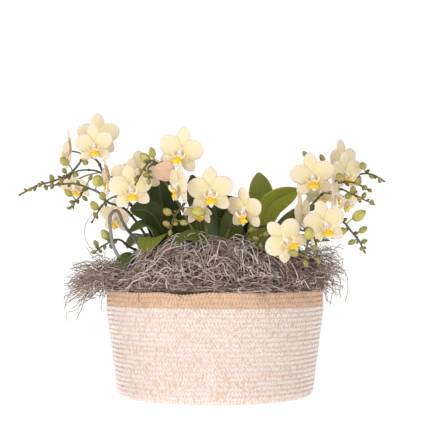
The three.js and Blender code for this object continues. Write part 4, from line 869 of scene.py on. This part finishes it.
def lip_parts(size):
    """Middle lobe, two side lobes, the throat and callus between them, and the column above."""
    front = [(0, -8.2, 4.0), (0, -11.2, 5.8), (0, -14.2, 6.8), (0, -18.6, 5.9)]
    parts = [lip_lobe(front, FRONT_LOBE, 0.28, (0, 0, 1), 0.0, lambda u, v: 1 - (v - 0.64) / 0.10)]
    for hand in (-1, 1):
        side = [(hand * x, y, z) for x, y, z in ((1.2, -8.6, 4.2), (3.8, -7.8, 6.2), (6.3, -5.2, 7.8),
                                                 (6.6, -1.8, 8.2))]
        parts.append(lip_lobe(side, SIDE_LOBE, 0.3, (-hand * 0.8, 0.5, 1), 0.0, side_gold))
    inner = [(0, -2.6, 2.4), (0, -5.0, 2.8), (0, -7.4, 3.4), (0, -9.4, 4.8)]
    parts.append(lip_lobe(inner, THROAT, -0.35, (0, 0, 1), 1.0, lambda u, v: 1.6 * v - 0.6))
    callus = round_stem([(0, -9.6, 4.0), (0, -9.6, 5.0), (0, -9.5, 6.2), (0, -9.3, 6.9)],
                        [1.5, 1.9, 1.5, 0.4], 10)
    column = round_stem([(0, 0.9, -3), (0, 0.8, -0.5), (0, 0.2, 1.6), (0, -1.0, 3.4), (0, -2.4, 4.8),
                         (0, -3.6, 5.6), (0, -4.3, 5.8)], [2.1, 2.3, 2.2, 2.2, 2.5, 2.0, 0.7], 14)
    parts += [(*callus, {"gold": 1.0, "stripe": 0.0}), (*column, {"gold": 0.0, "stripe": 0.0})]
    return [(points * (1 + (size - 1) * 0.8), *rest) for points, *rest in parts]


def petal_material():
    """Thin petal skin: cream, warmer at the heart, blushed at the rim, with fine lengthwise veins, and a
    faint glow in its own colour that is painted light, standing in for light shining through the thin petals.
    """
    # The emission is painted light: the petals glow faintly in their own colour as if lit through from
    # behind.
    material, tree = start_material("petal", Roughness=0.55, Specular_IOR_Level=0.3, Sheen_Weight=0.2,
                                    Emission_Strength=0.11)
    lines = add_node(tree, "Group", {"Scale": (24.0, 2.2, 1.0), "Detail": 3.0}, node_tree=blade_lines)
    skin = ramp(tree, lines["Along"], [(0.0, 0.72, 0.63, 0.30), (0.3, 0.76, 0.66, 0.39),
                                       (0.7, 0.78, 0.665, 0.48), (1.0, 0.78, 0.655, 0.53)])
    rim = spread(tree, lines["Off Middle"], 0.34, 0.5, 0.0, 0.6)
    skin = mix(tree, rim, skin, colour((0.84, 0.68, 0.60)))
    veins = ramp(tree, lines["Veins"], [(0.3, 0.95, 0.91, 0.86), (0.6, 1, 1, 1)])
    skin = mix(tree, 0.9, skin, veins, "MULTIPLY")
    bumps = relief(tree, lines["Veins"], 0.3, 0.3)
    return dress(material, Base_Color=skin, Emission_Color=skin, Normal=bumps)


def lip_material():
    """White lip with a golden middle, orange at the deepest, and faint red stripes in the throat."""
    material, tree = start_material("lip", Roughness=0.45, Specular_IOR_Level=0.4)
    skin = ramp(tree, mottled(tree, "gold", 420.0, 2.0, 0.3)["Value"],
                [(0.0, 0.86, 0.76, 0.77), (0.35, 0.90, 0.72, 0.36), (0.65, 0.92, 0.62, 0.04),
                 (1.0, 0.92, 0.58, 0.015)])
    uv = add_node(tree, "UVMap", uv_map="surface")["UV"]
    bands = add_node(tree, "TexWave", {"Vector": uv, "Scale": 3.2, "Distortion": 1.2}, wave_type="BANDS",
                     bands_direction="Y")["Fac"]
    bands = reckon(tree, "MULTIPLY", spread(tree, bands, 0.72, 1.0, 0.0, 0.35), painted(tree, "stripe"))
    return dress(material, Base_Color=mix(tree, bands, skin, colour((0.55, 0.18, 0.05))))


petal_skin = petal_material()
lip_skin = lip_material()
for number, (at, yaw, pitch, roll, size, reach) in enumerate(BLOOMS):
    name = f"bloom_{number + 1:02d}"
    draw = np.random.default_rng(100 + number)
    turn = bloom_turn(yaw, pitch, roll)
    tepals = [tepal(*entry, size, reach, draw) for entry in TEPALS]
    for kind, parts, skin in (("tepals", tepals, petal_skin), ("lip", lip_parts(size), lip_skin)):
        parts = [(points @ turn.T + np.array(at), *rest) for points, *rest in parts]
        place_piece(make_piece(f"{name}_{kind}", *gather(parts)), name, skin)

# AERIAL ROOT
# One thick grey root leaves the left crown, arches over the leaves and hangs outside them. Its spongy skin is
# silver grey, and a little browner towards its growing tip.
AERIAL_ROOT = [
    (-53, 23, 119), (-58, 19, 134), (-67, 13, 151), (-82, 3, 167), (-98, -8, 186), (-107, -23, 203),
    (-112, -32, 213), (-117, -37, 209), (-119, -41, 196), (-117, -44, 181), (-112, -48, 168),
    (-106, -52, 156), (-103, -54, 145),
]
ROOT_RADIUS = 1.9
ROOT_POINTS = 64
ROOT_WOBBLE = 0.6
step = np.arange(ROOT_POINTS)
root_line = smooth_line(AERIAL_ROOT, ROOT_POINTS)
root_line += np.stack([np.sin(step * 0.55), np.cos(step * 0.41), np.sin(step * 0.3)], axis=1) * ROOT_WOBBLE
root_radii = ROOT_RADIUS * (1 + 0.07 * np.sin(step * 0.9)) * np.clip((ROOT_POINTS - step) / 3, 0.3, 1)
root_points, root_faces, root_uv = round_stem(root_line, root_radii, 12)
root = make_piece("aerial_root_skin", root_points, root_faces, {"fresh": root_uv[:, 1] * 0.3 + 0.5}, root_uv)
root_skin = plant_skin("root", (0.13, 0.125, 0.115), (0.36, 0.35, 0.335), (0.22, 0.21, 0.16), "fresh", 0.8)
place_piece(root, "aerial_root", root_skin)

# PLANT TAG AND CLIP
# A pebble-shaped slip of thin, pinkish wood, bare on both sides, held on a stem by a cream plastic spring
# clip. The slip is cut from veneer, and its edges and those of the clip are slightly rounded.
TAG_EDGE, CLIP_EDGE = 0.35, 0.2


def wood_material():
    """Bare veneer: fine wavy grain along the slip."""
    material, tree = start_material("tag_wood", Roughness=0.65)
    place = add_node(tree, "TexCoord")["Object"]
    drawn = add_node(tree, "Mapping", {"Vector": place, "Scale": (60.0, 60.0, 900.0)})[0]
    grain = noise(tree, drawn, 1.0, 4.0)
    skin = ramp(tree, grain, [(0.3, 0.66, 0.41, 0.27), (0.7, 0.86, 0.59, 0.42)])
    return dress(material, Base_Color=skin, Normal=relief(tree, grain, 0.2, 0.2))


def bevelled_copy(node, name, width, segments):
    """A copy of a CAD solid with its loose corners merged and its edges rounded."""
    piece = frame["nodes"][node].copy()
    piece.data = piece.data.copy()
    piece.name = name
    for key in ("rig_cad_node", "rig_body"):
        if key in piece:
            del piece[key]
    bpy.context.scene.collection.objects.link(piece)
    edit_alone(piece)
    bpy.ops.mesh.remove_doubles(threshold=1e-6)
    bpy.ops.mesh.dissolve_limited(angle_limit=math.radians(2))
    bpy.ops.object.mode_set(mode="OBJECT")
    bevel = piece.modifiers.new("edges", "BEVEL")
    bevel.width, bevel.segments, bevel.angle_limit = width * MM, segments, math.radians(35)
    bpy.ops.object.modifier_apply(modifier=bevel.name)
    bpy.ops.object.shade_smooth_by_angle(angle=math.radians(40))
    return piece


tag = bevelled_copy("plant_tag", "plant_tag_slip", TAG_EDGE, 3)
place_piece(tag, "plant_tag", wood_material())
clip = bevelled_copy("tag_clip", "tag_clip_spring", CLIP_EDGE, 2)
clip_plastic = plain_finish("clip_plastic", (0.80, 0.75, 0.66), (0.70, 0.64, 0.55), 0.4, 900, 0.08)
place_piece(clip, "tag_clip", clip_plastic)

# MOSS
# Dry grey-brown moss is laid over the pots in a low mound: thousands of thin curly strands that creep over
# the rim and hang past it in wisps on both sides. Higher strands are painted paler and the heart between is
# painted
# dark: painted light on top and painted shade between.
MOSS_TOP = 160
MOSS_EDGE_DROP = 34
MOSS_RADIUS = 121
MOSS_FOOT = 118.3
HEART_RINGS, HEART_SIDES = 26, 72
MOSS_HUMPS = [(-12, -72, 30, 12), (108, -28, 24, 16), (-104, -34, 26, 8), (40, -92, 22, 4), (-60, -88, 20, 5)]
STRAND_POINTS = 12
STRAND_HEAP = 2500
WISPS = 1250
RUST_SHARE = 0.05
MOSS_TUFTS = [  # where it lies, how widely, its share of the wisps, and how far out they reach
    ((-117, -16, 142), (12, 26, 6), 0.32, 170), ((-138, -18, 134), (9, 14, 5), 0.10, 170),
    ((116, -28, 150), (8, 24, 12), 0.18, 148), (None, None, 0.40, 127),
]
LONG_HAIRS = [
    [(-104, -40, 232), (-116, -44, 226), (-135, -45, 212), (-147, -44, 192), (-143, -44, 174),
     (-129, -42, 160), (-116, -38, 148)],
    [(-112, -34, 142), (-138, -36, 140), (-158, -34, 128), (-168, -30, 112), (-172, -28, 98)],
    [(118, -24, 150), (136, -26, 152), (150, -22, 140), (152, -20, 122), (149, -18, 106)],
    [(-20, -84, 158), (-8, -94, 172), (10, -96, 168), (22, -92, 152)],
    [(40, -88, 148), (46, -98, 168), (30, -102, 178), (20, -94, 158)],
]


def moss_material():
    """Dry strands from dark brown to light grey, each with its own tone and a mottled skin; that tone also
    carries painted light on the higher strands and painted shade in the dark heart.
    """
    material, tree = start_material("moss", Roughness=0.9, Specular_IOR_Level=0.2)
    skin = mottled(tree, "tone", 230.0, 2.0, 0.4)
    tone = ramp(tree, skin["Value"], [(0.0, 0.07, 0.045, 0.033), (0.3, 0.22, 0.145, 0.11),
                                      (0.6, 0.45, 0.35, 0.30), (0.95, 0.78, 0.68, 0.63)])
    tone = mix(tree, painted(tree, "rust"), tone, colour((0.86, 0.56, 0.40)), "MULTIPLY")
    return dress(material, Base_Color=tone, Normal=relief(tree, skin["Height"], 0.3, 0.4))


dry_moss = moss_material()


def place_moss(name, points, faces, tone, rust):
    """Puts a mesh of moss in its place."""
    place_piece(make_piece(name, points, faces, {"tone": tone, "rust": rust}), "moss", dry_moss)


def moss_height(x, y):
    """Height of the mound: low at the rim, uneven, with a few heaps where more moss was laid."""
    distance, turn = np.hypot(x, y), np.arctan2(y, x)
    edge = np.minimum(1, distance / MOSS_RADIUS)
    height = MOSS_TOP - MOSS_EDGE_DROP * edge ** 4 + 3 * np.sin(3 * turn + 1) * edge + 2 * np.sin(5 * turn)
    for hump_x, hump_y, reach, rise in MOSS_HUMPS:
        height = height + rise * np.exp(-((x - hump_x) ** 2 + (y - hump_y) ** 2) / (2 * reach ** 2))
    return height


def moss_heart(name):
    """The dense heart of the moss, seen only in the gaps between strands. It is painted dark, lighter only
    towards its edge: painted shade in the gaps.
    """
    turns = np.linspace(0, math.tau, HEART_SIDES, endpoint=False)
    t, d = np.meshgrid(turns, np.linspace(0.5, 118, HEART_RINGS))
    lumps = 1.6 * np.sin(d * 0.45 + 4 * t) * np.sin(9 * t + d * 0.12)
    top = around(d, t, moss_height(d * np.cos(t), d * np.sin(t)) - 6 + lumps)
    points = np.concatenate([top.reshape(-1, 3), around(113, turns, MOSS_FOOT)])
    faces = [(face[0], *face[:0:-1]) for face in closed_tube(HEART_RINGS + 1, HEART_SIDES)]
    edge = np.clip((np.hypot(points[:, 0], points[:, 1]) - 96) / 20, 0, 1)
    # Dark in the middle and lighter towards the edge: painted shade between the strands.
    place_moss(name, points, faces, 0.55 * edge, 0 * edge)


def strands(name, lines, radius, tone):
    """Thin three-sided strands along many lines at once, tapered and closed at their ends."""
    count, steps = lines.shape[:2]
    along = unit(np.gradient(lines, axis=1))
    side = unit(np.cross(along, (0.1, 0.2, 0.97)))
    other = np.cross(along, side)
    taper = np.full(steps, 1.0)
    taper[0] = taper[-1] = 0.3
    size = (radius[:, None] * taper)[..., None]
    rings = [lines + size * (math.cos(t) * side + math.sin(t) * other) for t in np.arange(3) * math.tau / 3]
    ends = [(2, 1, 0), (3 * steps - 3, 3 * steps - 2, 3 * steps - 1)]
    faces = repeated([*tube_faces(steps, 3), *ends], count, 3 * steps)
    rust = np.random.default_rng(count).uniform(0, 1, count) < RUST_SHARE
    tone, rust = (np.repeat(value, 3 * steps) for value in (tone, rust))
    place_moss(name, np.stack(rings, axis=2).reshape(-1, 3), faces, tone, rust)


def curly_walk(start, turn, tilt, stride, draw):
    """Many strands at once: each walks on from its start while its heading curls one way and then another."""
    count = len(start)
    curl = draw.normal(0, 0.5, count)
    beat = draw.uniform(0.5, 1.3, count)
    phase = draw.uniform(0, math.tau, count)
    places = [start]
    for step in range(STRAND_POINTS - 1):
        turn = turn + curl * np.sin(phase + beat * step) + draw.normal(0, 0.17, count)
        tilt = 0.86 * tilt + 0.42 * np.cos(phase + 1.7 * beat * step) + draw.normal(0, 0.16, count)
        places.append(places[-1] + stride[:, None] * around(np.cos(tilt), turn, np.sin(tilt)))
    return np.stack(places, axis=1)


def draw_in(lines, limit):
    """Brings back the parts of strands that reach too far out."""
    away = np.hypot(lines[..., 0], lines[..., 1])
    lines[..., :2] *= np.minimum(1, limit[:, None] / np.maximum(away, 1))[..., None]


def keep_off_rim(lines, lift):
    """Strands rest on the rim and hang outside the wall, never through it."""
    inside = np.hypot(lines[..., 0], lines[..., 1]) < RIM_RADIUS + 4
    lowest = np.where(inside, BASKET_HEIGHT + lift[:, None], -np.inf)
    lines[..., 2] = np.maximum(lines[..., 2], lowest)


def matted_strands(name, count, seed):
    """Strands that lie on the mound in loops, some standing well out of it."""
    draw = np.random.default_rng(seed)
    turn = draw.uniform(0, math.tau, count)
    start = around(120 * np.sqrt(draw.uniform(0.02, 1, count)), turn, 0.0)
    lines = curly_walk(start, draw.uniform(0, math.tau, count), draw.normal(0.2, 0.4, count),
                       draw.uniform(2.8, 5.4, count), draw)
    draw_in(lines, draw.uniform(120, 131, count))
    rise = draw.gamma(1.6, 2.2, count)[:, None] * np.sin(math.pi * np.linspace(0, 1, STRAND_POINTS))
    rise = rise + draw.uniform(-4.5, 2.5, count)[:, None]
    lines[..., 2] = moss_height(lines[..., 0], lines[..., 1]) + 0.55 * lines[..., 2] + rise
    keep_off_rim(lines, draw.uniform(0.3, 5, count))
    # Strands that stand higher are painted lighter: painted light on top of the mound and painted shade
    # deeper in it, over a random tone of their own.
    tone = np.clip(0.5 + 0.06 * rise.mean(axis=1) + draw.normal(0, 0.22, count), 0, 1)
    strands(name, lines, draw.uniform(0.4, 0.7, count), tone)


def spilling_strands(name, count, seed):
    """Tufts that lean out over the rim at the left and at the right, and a thin fringe all round."""
    draw = np.random.default_rng(seed)
    parts = []
    for middle, widths, share, reach in MOSS_TUFTS:
        amount = round(count * share)
        if middle:
            start = np.array(middle) + np.clip(draw.normal(0, 1, (amount, 3)), -1.9, 1.9) * widths
        else:
            turn = draw.uniform(0, math.tau, amount)
            start = around(draw.uniform(112, 123, amount), turn, draw.uniform(121, 130, amount))
        outward = np.arctan2(start[:, 1], start[:, 0])
        turn = np.where(draw.uniform(0, 1, amount) < 0.45, outward + draw.normal(0, 0.7, amount),
                        draw.uniform(0, math.tau, amount))
        lines = curly_walk(start, turn, draw.normal(-0.1, 0.5, amount), draw.uniform(2.2, 4.2, amount), draw)
        past = np.clip(np.hypot(lines[..., 0], lines[..., 1]) - 128, 0, None)
        lines[..., 2] -= 0.38 * past * draw.uniform(0.1, 1.2, amount)[:, None]
        draw_in(lines, reach + draw.normal(0, 3, amount))
        keep_off_rim(lines, draw.uniform(0.2, 4, amount))
        parts.append(lines)
    lines = np.concatenate(parts)
    tone = np.clip(0.6 + draw.normal(0, 0.2, len(lines)), 0, 1)
    strands(name, lines, draw.uniform(0.3, 0.52, len(lines)), tone)


moss_heart("moss_heart")
matted_strands("moss_strands_low", STRAND_HEAP, 21)
matted_strands("moss_strands_high", STRAND_HEAP, 22)
spilling_strands("moss_wisps", WISPS, 23)
hairs = np.array([smooth_line(route, 26) for route in LONG_HAIRS])
strands("moss_long_hairs", hairs, np.full(len(hairs), 0.42), np.full(len(hairs), 0.55))

# FLOOR, LIGHT AND CAMERA
# A plain white table and backdrop, soft light from the front left with a weak fill, and the eye a little
# above the rim, 1.45 m in front of the basket.
TABLE_SIZE = 8
TABLE_GAP = 0.0005
TABLE_GLOW = 0.64
BACKDROP_LIGHT, BACKDROP_SEEN = 0.43, 1.05
LIGHTS = {  # place, size and power
    "window_light": ((-1.5, -1.5, 1.2), 1.0, 23),
    "fill_light": ((1.0, -2.0, 0.8), 1.2, 12),
}
LIT_POINT = (0, 0, 0.15)
SENSOR_WIDTH = 36
FOCAL_PIXELS = 1247
IMAGE_WIDTH = 430
EYE = (0, -1.45, 0.164)
TILT_UP = 1.75

bpy.ops.object.select_all(action="DESELECT")
bpy.ops.mesh.primitive_plane_add(size=TABLE_SIZE, location=(0, 0, -TABLE_GAP))
table = bpy.context.active_object
table.name = "table"
table_white, _ = start_material("table_white", Roughness=0.9, Base_Color=colour((0.85, 0.85, 0.85)),
                                Emission_Color=colour((1, 1, 1)), Emission_Strength=TABLE_GLOW)
table.data.materials.append(table_white)

world = bpy.data.worlds.new("backdrop")
bpy.context.scene.world = world
world.use_nodes = True
seen = add_node(world.node_tree, "LightPath")["Is Camera Ray"]
strength = spread(world.node_tree, seen, 0.0, 1.0, BACKDROP_LIGHT, BACKDROP_SEEN)
background = world.node_tree.nodes["Background"]
set_inputs(world.node_tree, background, {"Color": colour((1, 1, 1)), "Strength": strength})


def add_to_scene(name, data, place, turn):
    """A light or camera in its place."""
    made = bpy.data.objects.new(name, data)
    made.location, made.rotation_euler = place, turn
    bpy.context.scene.collection.objects.link(made)
    return made


for name, (place, size, power) in LIGHTS.items():
    light = bpy.data.lights.new(name, "AREA")
    light.size, light.energy = size, power
    add_to_scene(name, light, place, (Vector(LIT_POINT) - Vector(place)).to_track_quat("-Z", "Y").to_euler())

camera_data = bpy.data.cameras.new("camera")
camera_data.sensor_width = SENSOR_WIDTH
camera_data.lens = SENSOR_WIDTH * FOCAL_PIXELS / IMAGE_WIDTH
camera = add_to_scene("camera", camera_data, EYE, (math.radians(90 + TILT_UP), 0, 0))
bpy.context.scene.camera = camera
bpy.context.scene.view_settings.view_transform = "Standard"
